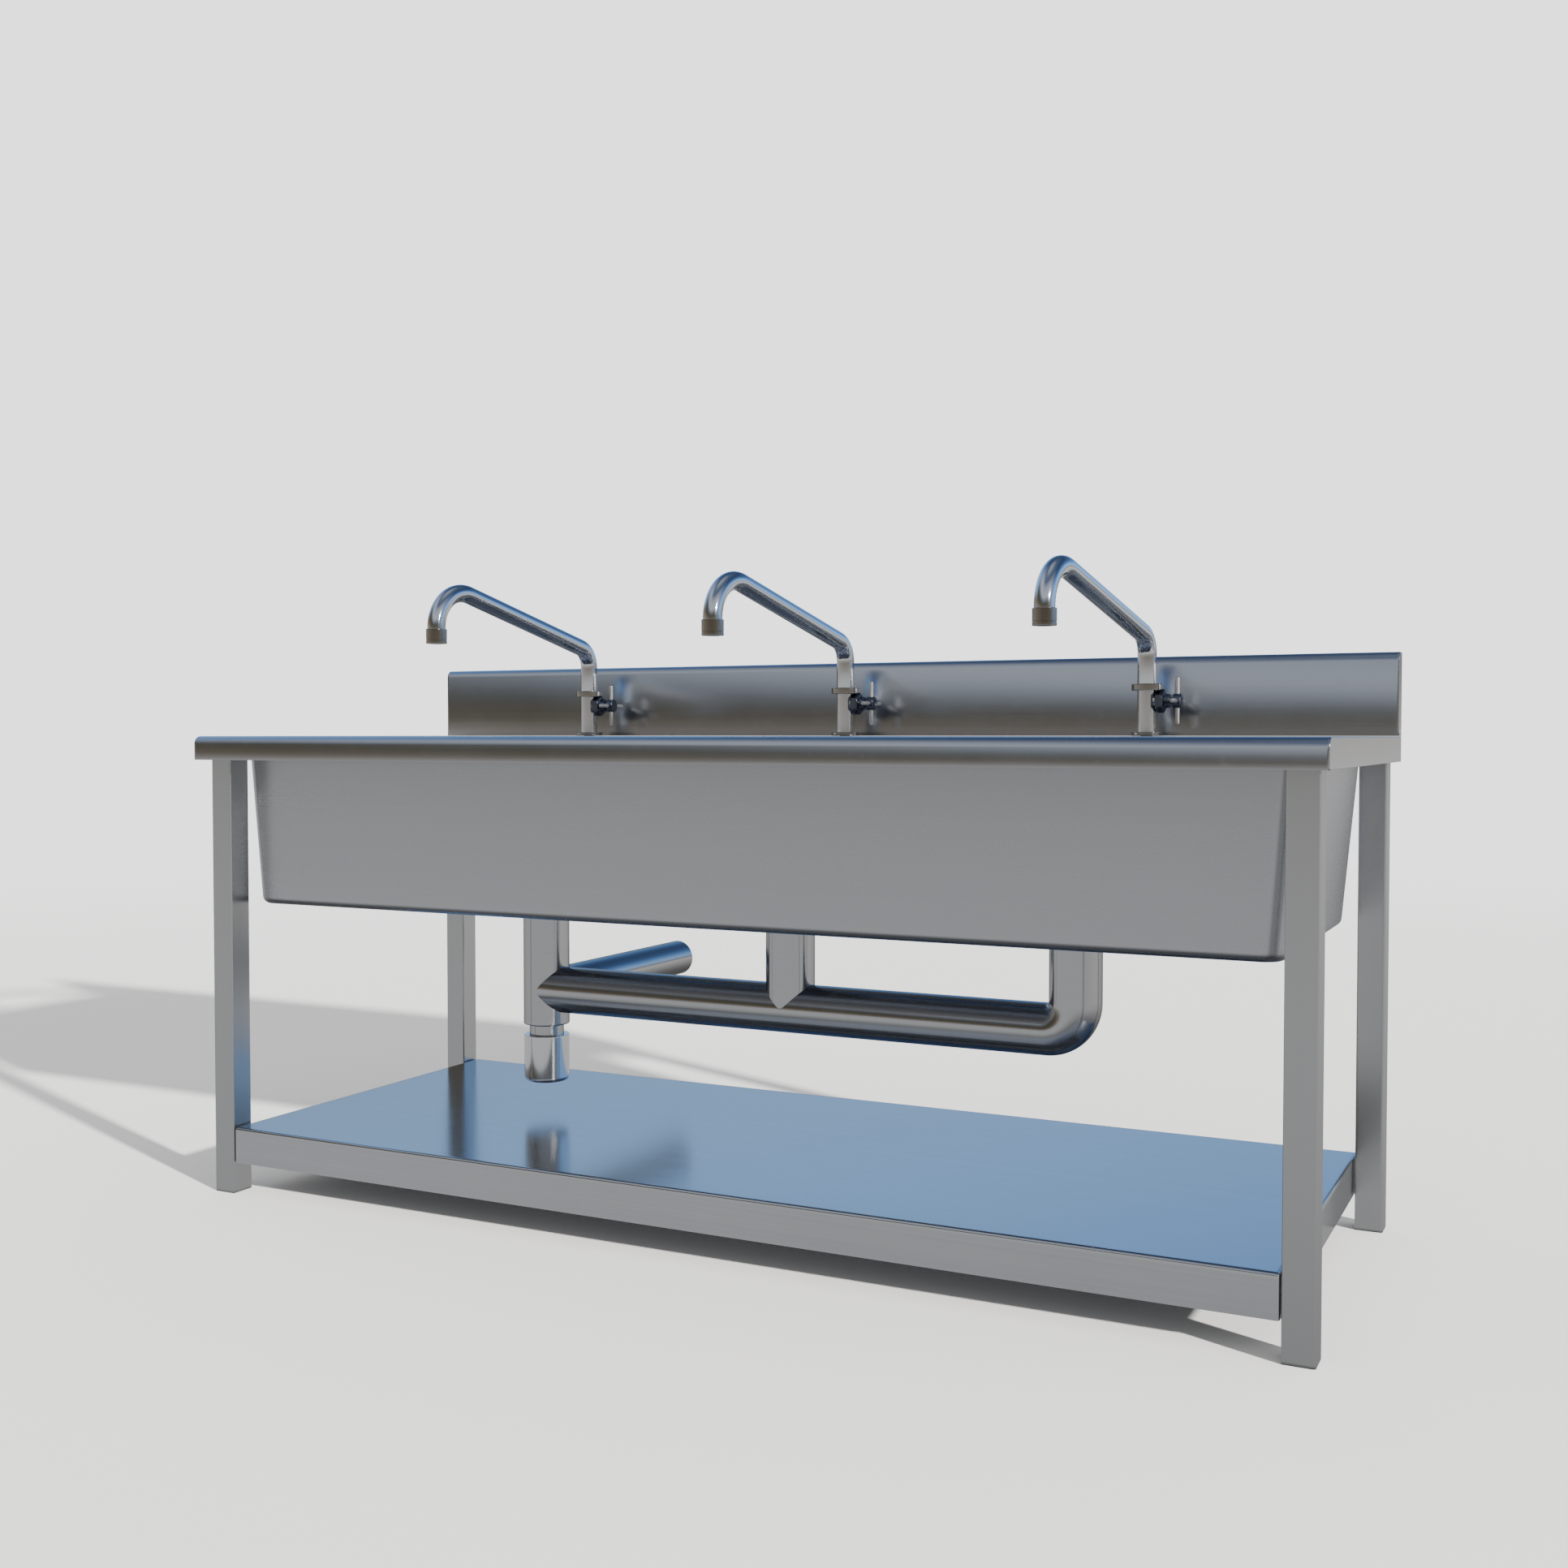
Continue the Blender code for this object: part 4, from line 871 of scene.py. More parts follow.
    def build(self) -> None:
        """Tub and dividers."""
        self.build_tub()
        for side in ("left", "right"):
            self.build_divider(side)


# ------------------------------------------------------------------------------------ legs and shelf
@dataclass
class Stand:
    """Four square tube legs with their plugs and sockets, and the bottom shelf with its channel."""

    wall: float = 0.0015
    corner: float = 0.0035
    edge: float = 0.0005
    sheet: float = 0.002
    shelf_bend: float = 0.005
    shelf_corner: float = 0.005
    least_corner: float = 0.0006
    gap: float = 0.004
    bend_rows: int = 8
    corner_steps: int = 8

    def build_leg(self, place: str) -> None:
        """One leg: outer skin up, over the cut end and down the bore, as a closed loop of rings.

        Args:
            place: Which corner of the stand.
        """
        low, high = box_of("leg_" + place)
        edge, bore = self.edge, self.wall
        part = edge * ARC_MIDDLE
        rows = [
            (edge, low[2]), (part, low[2] + part), (0.0, low[2] + edge), (0.0, high[2] - edge),
            (edge, high[2]), (bore, high[2]), (bore, low[2]),
        ]
        inset, z = np.array(rows).T
        corner = np.where(inset < bore, self.corner - inset, self.corner - bore)
        sides = (low[0] + inset, high[0] - inset, low[1] + inset, high[1] - inset)
        stack = supported(np.stack((*sides, z, corner), axis=1), self.gap)
        item = surface("leg_tube_" + place, level_rectangles(stack, self.corner_steps), Closing.LOOP)
        fitted(item, LEG_STEEL, "frame_steel", FIXED, "leg_" + place)
        kept("leg_socket_" + place, LEG_STEEL)
        kept("leg_plug_" + place, PLUG_BLACK)

    def shelf_skin(self, inset: float, top: float) -> np.ndarray:
        """One side of the shelf's sheet, from the foot of the flange up and round the bend to the top.

        Args:
            inset: Distance behind the outer side.
            top: Level of this side's flat.

        Returns:
            Rows for level_rectangles.
        """
        low, high = box_of("undershelf")
        bend = self.shelf_bend - inset
        angle = np.radians(np.linspace(0, 90, self.bend_rows))
        drawn = inset + np.concatenate(([0.0], bend * (1 - np.cos(angle))))
        z = np.concatenate(([low[2]], top - bend * (1 - np.sin(angle))))
        corner = np.maximum(self.shelf_corner - drawn, self.least_corner)
        sides = (low[0] + drawn, high[0] - drawn, low[1] + drawn, high[1] - drawn)
        return np.stack((*sides, z, corner), axis=1)

    def build_shelf(self) -> None:
        """The shelf tray: outer skin from its top down, foot of the flange, and inner skin up to its top."""
        high = box_of("undershelf")[1]
        outside = supported(self.shelf_skin(0.0, high[2])[::-1], self.gap)
        inside = supported(self.shelf_skin(self.sheet, high[2] - self.sheet), self.gap)
        stack = np.concatenate((self.shrunk(outside[0]), outside, inside, self.shrunk(inside[-1])))
        item = surface("shelf_tray", level_rectangles(stack, self.corner_steps), Closing.CAPS)
        fitted(item, SHELF_STEEL, "satin_steel", FIXED, "undershelf")
        kept("shelf_stiffener", LEG_STEEL)

    def shrunk(self, row: np.ndarray) -> np.ndarray:
        """The same rectangle drawn in by a gap, to hold a flat face flat."""
        inner = row.copy()
        inner[:4] += self.gap * np.array((1, -1, 1, -1))
        return inner[None, :]

    def build(self) -> None:
        """Legs and shelf."""
        for place in CORNERS:
            self.build_leg(place)
        self.build_shelf()


# ------------------------------------------------------------------------------------ drains
def drain_place(side: str) -> tuple[float, float]:
    """Middle of a drain, from its flange."""
    return tuple(middle_of("drain_flange_" + side)[:2])


@dataclass
class Drain:
    """One compartment's drain: flanged body, lock nut under the floor, and the basket that lifts out."""

    side: str
    body: float = 0.0440
    wall: float = 0.0035
    seat: float = 0.002
    lip: float = 0.001
    dish: float = 0.006
    ledge: float = 0.0045
    ledge_level: float = 0.027
    tail: float = 0.0424
    thread_start: float = 0.0095
    chamfer: float = 0.0006
    chamfer_foot: float = 0.0004
    tail_break: float = 0.0005
    flange_gap: float = 0.0008
    flange_steps: int = 96
    # Lock nut.
    nut_play: float = 0.0003
    nut_edge: float = 0.001
    nut_gap: float = 0.0006
    nut_steps: int = 144
    notches: int = 12
    notch_depth: float = 0.055
    notch_width: float = 0.55
    notch_steepness: float = 4.0
    # Basket.
    basket_wall: float = 0.0012
    basket_curve: float = 0.005
    basket_gap: float = 0.002
    basket_steps: int = 72
    hole: float = 0.0042
    hole_steps: int = 24
    holes: int = 6
    hole_circle: float = 0.55

    def build_flange(self) -> None:
        """The flanged body, turned: dished flange, bore, ledge for the basket, tail and outer wall."""
        low, high = box_of("drain_flange_" + self.side)
        nut_low = box_of("drain_locknut_" + self.side)[0]
        outer = (high[0] - low[0]) / 2
        top, seat = high[2], high[2] - self.seat
        bore = self.body - self.wall
        ledge = low[2] + self.ledge_level
        step = nut_low[2] - self.thread_start
        lip = arc((outer - self.lip, seat + self.lip), self.lip, -90, 90, 8)
        dish = arc((bore + self.dish, top - self.dish), self.dish, 90, 180, 10)
        rows = np.concatenate((
            lip, dish, [
                (bore, ledge), (bore - self.ledge, ledge), (bore - self.ledge, low[2]), (self.tail, low[2]),
                (self.tail, step - self.tail_break), (self.body - self.chamfer, step - self.chamfer_foot),
                (self.body, step + self.chamfer), (self.body, seat),
            ],
        ))
        rings = turned(supported(rows, self.flange_gap), (*drain_place(self.side), 0), self.flange_steps)
        item = surface(f"drain_{self.side}_body", rings, Closing.LOOP)
        fitted(item, CHROME, "polished_chrome", FIXED, "drain_flange_" + self.side)

    def build_locknut(self) -> None:
        """The lock nut, a ring whose rim is notched: the radius dips by the depth at even stations."""
        low, high = box_of("drain_locknut_" + self.side)
        outer, bore, edge = (high[0] - low[0]) / 2, self.body + self.nut_play, self.nut_edge
        rows = np.array([
            (bore, high[2], 0), (bore, low[2], 0), (outer - edge, low[2], 1), (outer, low[2] + edge, 1),
            (outer, high[2] - edge, 1), (outer - edge, high[2], 1),
        ])
        full = supported(rows, self.nut_gap)
        angle = np.arange(self.nut_steps) * FULL / self.nut_steps
        dip = np.clip(self.notch_steepness * (np.cos(self.notches * angle) - self.notch_width), 0, 1)
        lobes = 1 - self.notch_depth * dip
        rings = turned(
            full[:, :2], (*drain_place(self.side), 0), self.nut_steps, lobes=lobes, share=full[:, 2]
        )
        item = surface(f"drain_{self.side}_locknut", rings, Closing.LOOP)
        fitted(item, NICKEL, "satin_nickel", FIXED, "drain_locknut_" + self.side)

    def build_basket(self) -> None:
        """The basket: a thin cup with a rolled lip, its floor drilled with one ring of round holes."""
        low, high = box_of("strainer_basket_" + self.side)
        outer, wall, curve = (high[0] - low[0]) / 2, self.basket_wall, self.basket_curve
        inner = outer - wall
        outside = arc((outer - curve, low[2] + curve), curve, -90, 0, 8)
        inside = arc((inner - curve + wall, low[2] + curve), curve - wall, 0, -90, 8)
        lip = arc((outer - wall / 2, high[2] - wall / 2), wall / 2, 0, 180, 6)
        rows = np.concatenate((supported(np.concatenate((outside, lip)), self.basket_gap), inside))
        place = drain_place(self.side)
        rings = turned(rows, (*place, 0), self.basket_steps)
        item = surface(f"drain_{self.side}_basket", rings, Closing.CAPS)
        turn = np.arange(self.holes) * FULL / self.holes
        spots = self.hole_circle * inner * np.stack((np.cos(turn), np.sin(turn)), axis=1) + np.array(place)
        drilled(item, spots, self.hole, low[2] - wall, low[2] + 2 * wall, self.hole_steps)
        fitted(item, CHROME, "polished_chrome", "basket_" + self.side, "strainer_basket_" + self.side)

    def build(self) -> None:
        """Flange, lock nut and basket."""
        self.build_flange()
        self.build_locknut()
        self.build_basket()


# ------------------------------------------------------------------------------------ waste pipes
@dataclass
class Waste:
    """The joined waste pipes: left stand pipe, trap cup, manifold with its elbow, centre drop and outlet."""

    wall: float = 0.002
    joint: float = 0.0003
    steps: int = 72
    elbow_gap: float = 0.004
    elbow_steps: int = 28
    level_gap: float = 0.05
    rise_gap: float = 0.01
    cut_gap: float = 0.002
    run_shares: tuple[float, ...] = (0.0, 0.006, 0.012, 0.5, 0.985, 1.0)
    # Stand pipe and trap cup.
    shoulder_level: float = 0.2862
    shoulder_roll: float = 0.0025
    neck: float = 0.0335
    neck_fillet: float = 0.0015
    fillet_middle: float = 0.0004
    pipe_gap: float = 0.0015
    cup_mouth_edge: float = 0.0006
    cup_edge: float = 0.0012
    cup_curve: float = 0.009
    cup_floor: float = 0.004
    cup_gap: float = 0.002

    def ends_meeting(self, across: np.ndarray, radius: float) -> np.ndarray:
        """Distance from a crossing pipe's middle to its skin, sqrt(r^2 - a^2), at a distance across it."""
        return np.sqrt(np.maximum(radius**2 - across**2, 0.0))

    def branch(
        self, start: np.ndarray, end: float, radius: float, along: int, middle: np.ndarray
    ) -> np.ndarray:
        """A straight pipe whose near end is cut to a crossing pipe's skin.

        Rings run along one axis: outside from the cut to the far end, start + share (end - start), then back
        along the bore.

        Args:
            start: Distance of the cut from the middle, for each point round the pipe.
            end: Distance of the far end.
            radius: Outer radius of the pipe.
            along: Number of the axis that the pipe follows, 1 or 2.
            middle: Crossing point of the two pipes' centre lines.

        Returns:
            Rings as an array (row, point, xyz).
        """
        share = np.array(self.run_shares)
        angle = np.arange(self.steps) * FULL / self.steps
        outer_run = start[None, :] + share[:, None] * (end - start[None, :])
        run = np.concatenate((outer_run, outer_run[::-1]))
        size = np.repeat((radius, radius - self.wall), len(share))
        side = size[:, None] * np.cos(angle)[None, :]
        other = size[:, None] * np.sin(angle)[None, :]
        order = (side, run, other) if along == 1 else (side, other, run)
        return np.stack(order, axis=-1) + middle

    def fit_pipe(self, name: str, rings: np.ndarray, node: str) -> None:
        """Makes one pipe with its polishing lines along it.

        Args:
            name: Name of the piece.
            rings: Its rings, outside and back along the bore.
            node: Frame node it stands for.
        """
        item = surface(name, rings, Closing.LOOP)
        sweep_marks(item, rings)
        fitted(item, PIPE_STEEL, "pipe_steel", FIXED, node)

    def build_stand_pipe(self) -> None:
        """The left stand pipe, turned: pipe, rolled shoulder and the neck that the trap cup goes on."""
        low, high = box_of("waste_pipe_left")
        x, y, _ = middle_of("waste_pipe_left")
        radius = half_of("waste_pipe_left")
        end, roll, neck = self.shoulder_level, self.shoulder_roll, self.neck
        bore, neck_bore = radius - self.wall, neck - self.wall
        rows = np.concatenate((
            [(radius, high[2])], arc((radius - roll, end + roll), roll, 0, -90, 6), [
                (neck + self.neck_fillet, end), (neck + self.fillet_middle, end - self.fillet_middle),
                (neck, end - self.neck_fillet), (neck, low[2]), (neck_bore, low[2]),
                (neck_bore, end + self.wall), (bore, end + self.wall), (bore, high[2]),
            ],
        ))
        rings = turned(supported(rows, self.pipe_gap), (x, y, 0), self.steps)
        self.fit_pipe("stand_pipe", rings, "waste_pipe_left")

    def build_cup(self) -> None:
        """The trap cup, turned: round lower edge, straight wall, flat top and the mouth round the neck."""
        low, high = box_of("trap_cup")
        x, y, _ = middle_of("waste_pipe_left")
        outer, mouth, lip = half_of("trap_cup"), self.neck + self.joint, self.cup_mouth_edge
        edge, curve = self.cup_edge, self.cup_curve
        rows = np.concatenate((
            [(mouth, high[2] - lip), (mouth + lip, high[2]), (outer - edge, high[2])],
            arc((outer - edge, high[2] - edge), edge, 90, 0, 4)[1:],
            arc((outer - curve, low[2] + curve), curve, 0, -90, 12),
        ))[::-1]
        rows = np.concatenate((supported(rows, self.cup_gap), [(mouth, low[2] + self.cup_floor)]))
        item = surface("trap_cup_shell", turned(rows, (x, y, 0), self.steps), Closing.CAPS)
        fitted(item, CHROME, "polished_chrome", FIXED, "trap_cup")

    def build_manifold(self) -> None:
        """The manifold: level from the stand pipe, then round the elbow and up, as one swept tube."""
        low, high = box_of("waste_manifold")
        radius = half_of("waste_manifold", 1)
        left, y = middle_of("waste_pipe_left")[0], middle_of("waste_manifold")[1]
        level, right = low[2] + radius, high[0] - radius
        bend = radius + self.elbow_gap
        elbow = arc((right - bend, level + bend), bend, -90, 0, self.elbow_steps)
        straight = supported(np.array([(left, level), (right - bend, level)]), self.level_gap)
        rise = supported(np.array([(right, level + bend), (right, high[2])]), self.rise_gap)
        line = np.concatenate((straight[:-1], elbow, rise[1:]))
        path = np.column_stack((line[:, 0], np.full(len(line), y), line[:, 1]))
        skins = [tube(path, np.full(len(path), size), self.steps) for size in (radius, radius - self.wall)]
        for skin in skins:
            skin[0, :, 0] = left + self.ends_meeting(skin[0, :, 1] - y, radius + self.joint)
            skin[1, :, 0] = np.maximum(skin[1, :, 0], skin[0, :, 0] + self.cut_gap)
        self.fit_pipe("waste_manifold_tube", np.concatenate((skins[0], skins[1][::-1])), "waste_manifold")

    def build_branches(self) -> None:
        """The centre drop, cut over the manifold, and the outlet, cut round the stand pipe and manifold."""
        x, y, _ = middle_of("waste_pipe_centre")
        radius = half_of("waste_pipe_centre")
        level = box_of("waste_manifold")[0][2] + radius
        wrap = radius + self.joint
        angle = np.arange(self.steps) * FULL / self.steps
        cut = self.ends_meeting(radius * np.sin(angle), wrap)
        end = box_of("waste_pipe_centre")[1][2] - level
        rings = self.branch(cut, end, radius, 2, np.array((x, y, level)))
        self.fit_pipe("centre_drop_pipe", rings, "waste_pipe_centre")

        outlet = half_of("outlet_pipe")
        side, height = outlet * np.cos(angle), outlet * np.sin(angle)
        round_manifold = np.where(side > 0, self.ends_meeting(height, wrap), 0.0)
        cut = np.maximum(self.ends_meeting(side, wrap), round_manifold)
        end = box_of("outlet_pipe")[1][1] - y
        rings = self.branch(cut, end, outlet, 1, np.array((middle_of("outlet_pipe")[0], y, level)))
        self.fit_pipe("outlet_tube", rings, "outlet_pipe")

    def build(self) -> None:
        """Every pipe and the trap cup."""
        self.build_stand_pipe()
        self.build_cup()
        self.build_manifold()
        self.build_branches()


# ------------------------------------------------------------------------------------ taps
@dataclass
class Tap:
    """One tap: column on its plate, collar, swivel spout with aerator, and valve with cross handle."""

    side: str
    radius: float = 0.0169
    bore: float = 0.0125
    steps: int = 48
    edge: float = 0.0005
    gap: float = 0.001
    # Column, boss, rings and nut.
    shank: float = 0.0105
    shank_bore: float = 0.008
    thread_foot: float = 0.001
    thread_top: float = 0.003
    ridge: float = 0.00035
    pitch: float = 0.0015
    nipple: float = 0.0118
    nipple_length: float = 0.018
    boss: float = 0.0115
    boss_root: float = 0.7
    boss_steps: int = 36
    ring_play: float = 0.0002
    ring_gap: float = 0.0008
    ring_steps: int = 64
    plate_edge: float = 0.0015
    collar_edge: float = 0.0012
    nut_bore: float = 0.0108
    nut_chamfer: float = 0.0012
    # Spout, and the nozzle on its end.
    bend: float = 0.040
    over: float = 0.070
    corner_height: float = 0.176
    spout_gap: float = 0.006
    mouth_depth: float = 0.0123
    rest_swing: float = -6.1
    nozzle: float = 0.0194
    nozzle_edge: float = 0.0008
    nozzle_play: float = 0.0003
    nozzle_inside: float = 0.001
    nozzle_gap: float = 0.0006
    nozzle_steps: int = 56
    sleeve_depth: float = 0.012
    groove_level: float = 0.0065
    groove_depth: float = 0.0006
    groove_mouth: float = 0.0009
    groove_floor: float = 0.0005
    # Bonnet: the neck's rows are a radius and how far past the hexagon or the end it stands.
    bonnet_play: float = 0.0003
    bonnet_depth: float = 0.008
    bonnet_bore: float = 0.0056
    bonnet_gap: float = 0.0007
    hexagon_length: float = 0.0145
    hexagon_chamfer: float = 0.0016
    hexagon_face: float = 0.97
    neck_root: Rows = ((0.0150, 0.0), (0.0128, 0.0012), (0.0125, 0.0022))
    neck_end: Rows = ((0.0125, -0.0035), (0.0118, -0.0008), (0.0110, 0.0))
    # Handle: the dish's rows are a share of the hub and how far past the end it stands.
    hub: float = 0.0130
    hub_bore: float = 0.0052
    hub_dish: Rows = ((0.5, -0.0002), (0.45, -0.0008))
    hub_gap: float = 0.0008
    hub_steps: int = 60
    bar: float = 0.0040
    bar_steps: int = 36
    dome: float = 0.0022
    dome_turn: float = 88.0

    def __post_init__(self) -> None:
        """Reads the tap's place from its foot and the valve's from its bonnet."""
        x, y, _ = middle_of("base_flange_" + self.side)
        self.place = (x, y, 0.0)
        self.deck = box_of("base_flange_" + self.side)[0][2]
        self.valve = (x, y, middle_of("valve_bonnet_" + self.side)[2])

    def build_column(self) -> None:
        """The column, turned from the shank up to the nipple, and the boss that the bonnet screws on."""
        low, high = box_of("tap_body_" + self.side)
        shank, nipple, bore, deck, edge = self.shank, self.nipple, self.shank_bore, self.deck, self.edge
        shoulder = high[2] - self.nipple_length
        thread_z = np.arange(low[2] + self.thread_foot, deck - self.thread_top, self.pitch / 2)
        thread_r = shank - self.ridge * (np.arange(len(thread_z)) % 2)
        rows = np.concatenate((
            [(bore, low[2]), (shank - self.thread_foot, low[2])], np.column_stack((thread_r, thread_z)), [
                (shank, deck - edge), (shank, deck), (self.radius, deck), (self.radius, shoulder),
                (nipple, shoulder), (nipple, high[2] - edge), (nipple - edge, high[2]), (bore, high[2]),
            ],
        ))
        rings = turned(supported(rows, self.gap), self.place, self.steps)
        item = surface(f"tap_{self.side}_column", rings, Closing.LOOP)
        fitted(item, CHROME, "polished_chrome", FIXED, "tap_body_" + self.side)
        boss, reach = self.boss, high[0] - self.place[0]
        stub = np.array([(boss, self.radius * self.boss_root), (boss, reach - edge), (boss - edge, reach)])
        rings = turned(supported(stub, self.gap), self.valve, self.boss_steps, Axis.LEVEL)
        item = surface(f"tap_{self.side}_boss", rings, Closing.CAPS)
        fitted(item, CHROME, "polished_chrome", FIXED)

    def ring_piece(self, node: str, name: str, edge: float) -> None:
        """A turned ring with round edges round the column, in its node's height and width.

        Args:
            node: Frame node it stands for.
            name: Name of the piece.
            edge: Radius of its edges.
        """
        low, high = box_of(node)
        outer, bore = (high[0] - low[0]) / 2, self.radius + self.ring_play
        rows = np.concatenate((
            [(bore, high[2]), (bore, low[2])],
            arc((outer - edge, low[2] + edge), edge, -90, 0, 5),
            arc((outer - edge, high[2] - edge), edge, 0, 90, 5),
        ))
        rings = turned(supported(rows, self.ring_gap), self.place, self.ring_steps)
        fitted(surface(name, rings, Closing.LOOP), NICKEL, "satin_nickel", FIXED, node)

    def build_rings(self) -> None:
        """The plate at the foot, the collar under the spout, and the hexagon nut under the worktop."""
        self.ring_piece("base_flange_" + self.side, f"tap_{self.side}_plate", self.plate_edge)
        self.ring_piece("collar_nut_" + self.side, f"tap_{self.side}_collar", self.collar_edge)
        low, high = box_of("mounting_nut_" + self.side)
        across = (high[0] - low[0]) / 2 * math.cos(math.pi / 6)
        bore, chamfer = self.nut_bore, self.nut_chamfer
        rows = np.array([
            (bore, high[2], 0), (bore, low[2], 0), (across, low[2], 0), (across, low[2] + chamfer, 1),
            (across, high[2] - chamfer, 1), (across, high[2], 0),
        ])
        item = surface(f"tap_{self.side}_nut", hexagonal(rows, self.ring_gap, self.place), Closing.LOOP)
        fitted(item, NICKEL, "satin_nickel", FIXED, "mounting_nut_" + self.side)

    def spout_line(self) -> tuple[np.ndarray, float]:
        """The spout's centre line as rows of reach, height: up, round the bend, climbing, over and down.

        The climb is the tangent from the bend's corner to the arc's circle: its angle is that of the line to
        the circle's middle plus the angle whose sine is radius over distance.

        Returns:
            The rows, and the reach of the mouth.
        """
        low, high = box_of("spout_" + self.side)
        mouth = middle_of("aerator_" + self.side) - self.place
        reach = math.hypot(mouth[0], mouth[1])
        corner, crest = self.deck + self.corner_height, high[2] - self.radius - self.over
        centre = reach - self.over
        run = math.hypot(centre, crest - corner)
        climb = math.atan2(crest - corner, centre) + math.asin(self.over / run)
        back = self.bend * math.tan((math.pi / 2 - climb) / 2)
        slope = 90 + math.degrees(climb)
        end = box_of("aerator_" + self.side)[0][2] + self.mouth_depth
        line = np.concatenate((
            [(0.0, low[2])], arc((self.bend, corner - back), self.bend, 180, slope, 14),
            arc((centre, crest), self.over, slope, 0, 40), [(reach, end)],
        ))
        return supported(line, self.spout_gap), reach

    def build_spout(self) -> None:
        """The spout, a tube carried along its line and back along its bore, and the nozzle at its mouth."""
        line, reach = self.spout_line()
        path = np.column_stack((line[:, 0], np.zeros(len(line)), line[:, 1]))
        full = np.full(len(path), self.radius)
        thin = full - (self.radius - self.bore)
        full[0] -= self.edge
        rings = np.concatenate((tube(path, full, self.steps), tube(path, thin, self.steps)[::-1]))
        heading = -90 + self.rest_swing
        item = surface(f"tap_{self.side}_spout", headed(rings, heading, self.place[:2]), Closing.LOOP)
        sweep_marks(item, rings)
        fitted(item, CHROME, "polished_chrome", "swivel_" + self.side, "spout_" + self.side)
        self.build_nozzle(headed(np.array([(reach, 0.0, 0.0)]), heading, self.place[:2])[0])

    def build_nozzle(self, mouth: np.ndarray) -> None:
        """The nozzle, turned: a sleeve over the spout's end with a groove round it.

        Args:
            mouth: Place of the spout's mouth.
        """
        low, high = box_of("aerator_" + self.side)
        outer, edge, sleeve = self.nozzle, self.nozzle_edge, self.radius + self.nozzle_play
        top, bottom, seat = high[2], low[2], low[2] + self.sleeve_depth
        groove, waist, inside = bottom + self.groove_level, outer - self.groove_depth, self.nozzle_inside
        rows = np.concatenate((
            [(sleeve, seat), (sleeve, top)], arc((outer - edge, top - edge), edge, 90, 0, 4), [
                (outer, groove + self.groove_mouth), (waist, groove + self.groove_floor),
                (waist, groove - self.groove_floor), (outer, groove - self.groove_mouth),
            ],
            arc((outer - edge, bottom + edge), edge, 0, -90, 4),
            [(self.bore + inside, bottom), (self.bore, bottom + inside), (self.bore, seat)],
        ))
        rings = turned(supported(rows, self.nozzle_gap), tuple(mouth), self.nozzle_steps)
        item = surface(f"tap_{self.side}_aerator", rings, Closing.LOOP)
        fitted(item, NICKEL, "satin_nickel", "swivel_" + self.side, "aerator_" + self.side)

    def build_bonnet(self) -> None:
        """The bonnet: a hexagon with turned-off corners and a round neck, all about the valve's axis."""
        low, high = box_of("valve_bonnet_" + self.side)
        start, end = low[0] - self.place[0], high[0] - self.place[0]
        flats, cut, inner = (high[2] - low[2]) / 2, self.hexagon_chamfer, self.boss + self.bonnet_play
        hex_end, depth = start + self.hexagon_length, start + self.bonnet_depth
        face = flats * self.hexagon_face
        rows = np.array([
            (inner, start, 0), (face, start, 0), (flats, start + cut, 1), (flats, hex_end - cut, 1),
            (face, hex_end, 0), *((radius, hex_end + step, 0) for radius, step in self.neck_root),
            *((radius, end + step, 0) for radius, step in self.neck_end),
            (self.bonnet_bore, end, 0), (self.bonnet_bore, depth, 0), (inner, depth, 0),
        ])
        rings = hexagonal(rows, self.bonnet_gap, self.valve, Axis.LEVEL)
        item = surface(f"tap_{self.side}_bonnet", rings, Closing.LOOP)
        fitted(item, SMOKED, "dark_chrome", FIXED, "valve_bonnet_" + self.side)

    def build_handle(self) -> None:
        """The cross handle: a domed hub and two round bars with domed ends through it, joined to one body."""
        low, high = box_of("cross_handle_" + self.side)
        start, end = low[0] - self.place[0], high[0] - self.place[0]
        hub, bar, dome, half = self.hub, self.bar, self.dome, (high[2] - low[2]) / 2
        rows = np.concatenate((
            [(self.hub_bore, start)], arc((hub - dome, start + dome), dome, -90, 0, 6),
            arc((hub - dome, end - dome), dome, 0, 90, 6),
            [(hub * share, end + step) for share, step in self.hub_dish],
        ))
        rings = turned(supported(rows, self.hub_gap), self.valve, self.hub_steps, Axis.LEVEL)
        item = surface(f"tap_{self.side}_handle", rings, Closing.CAPS)
        item.data.materials.append(SMOKED.material())
        cap = arc((bar - dome, half - dome), dome, 0, self.dome_turn, 6)
        side = supported(np.concatenate((cap[::-1] * (1, -1), cap)), self.gap)
        rod = turned(side, (0.0, 0.0, 0.0), self.bar_steps)
        bars = []
        for tag, order in (("upright", (1, 0, 2)), ("level", (1, 2, 0))):
            place = np.array(self.valve) + np.array(((start + end) / 2, 0.0, 0.0))
            bars.append(surface(f"bar_{tag}", rod[:, :, order] + place, Closing.CAPS))
            bars[-1].data.materials.append(BAR_STEEL.material())
        combined(item, bars, Joining.JOIN)
        fitted(item, None, "dark_chrome", "handle_" + self.side, "cross_handle_" + self.side)
        kept("valve_spindle_" + self.side, NICKEL)

    def build(self) -> None:
        """Every piece of the tap."""
        self.build_column()
        self.build_rings()
        self.build_spout()
        self.build_bonnet()
        self.build_handle()


# ------------------------------------------------------------------------------------ studio
Sky = tuple[tuple[float, Colour], ...]


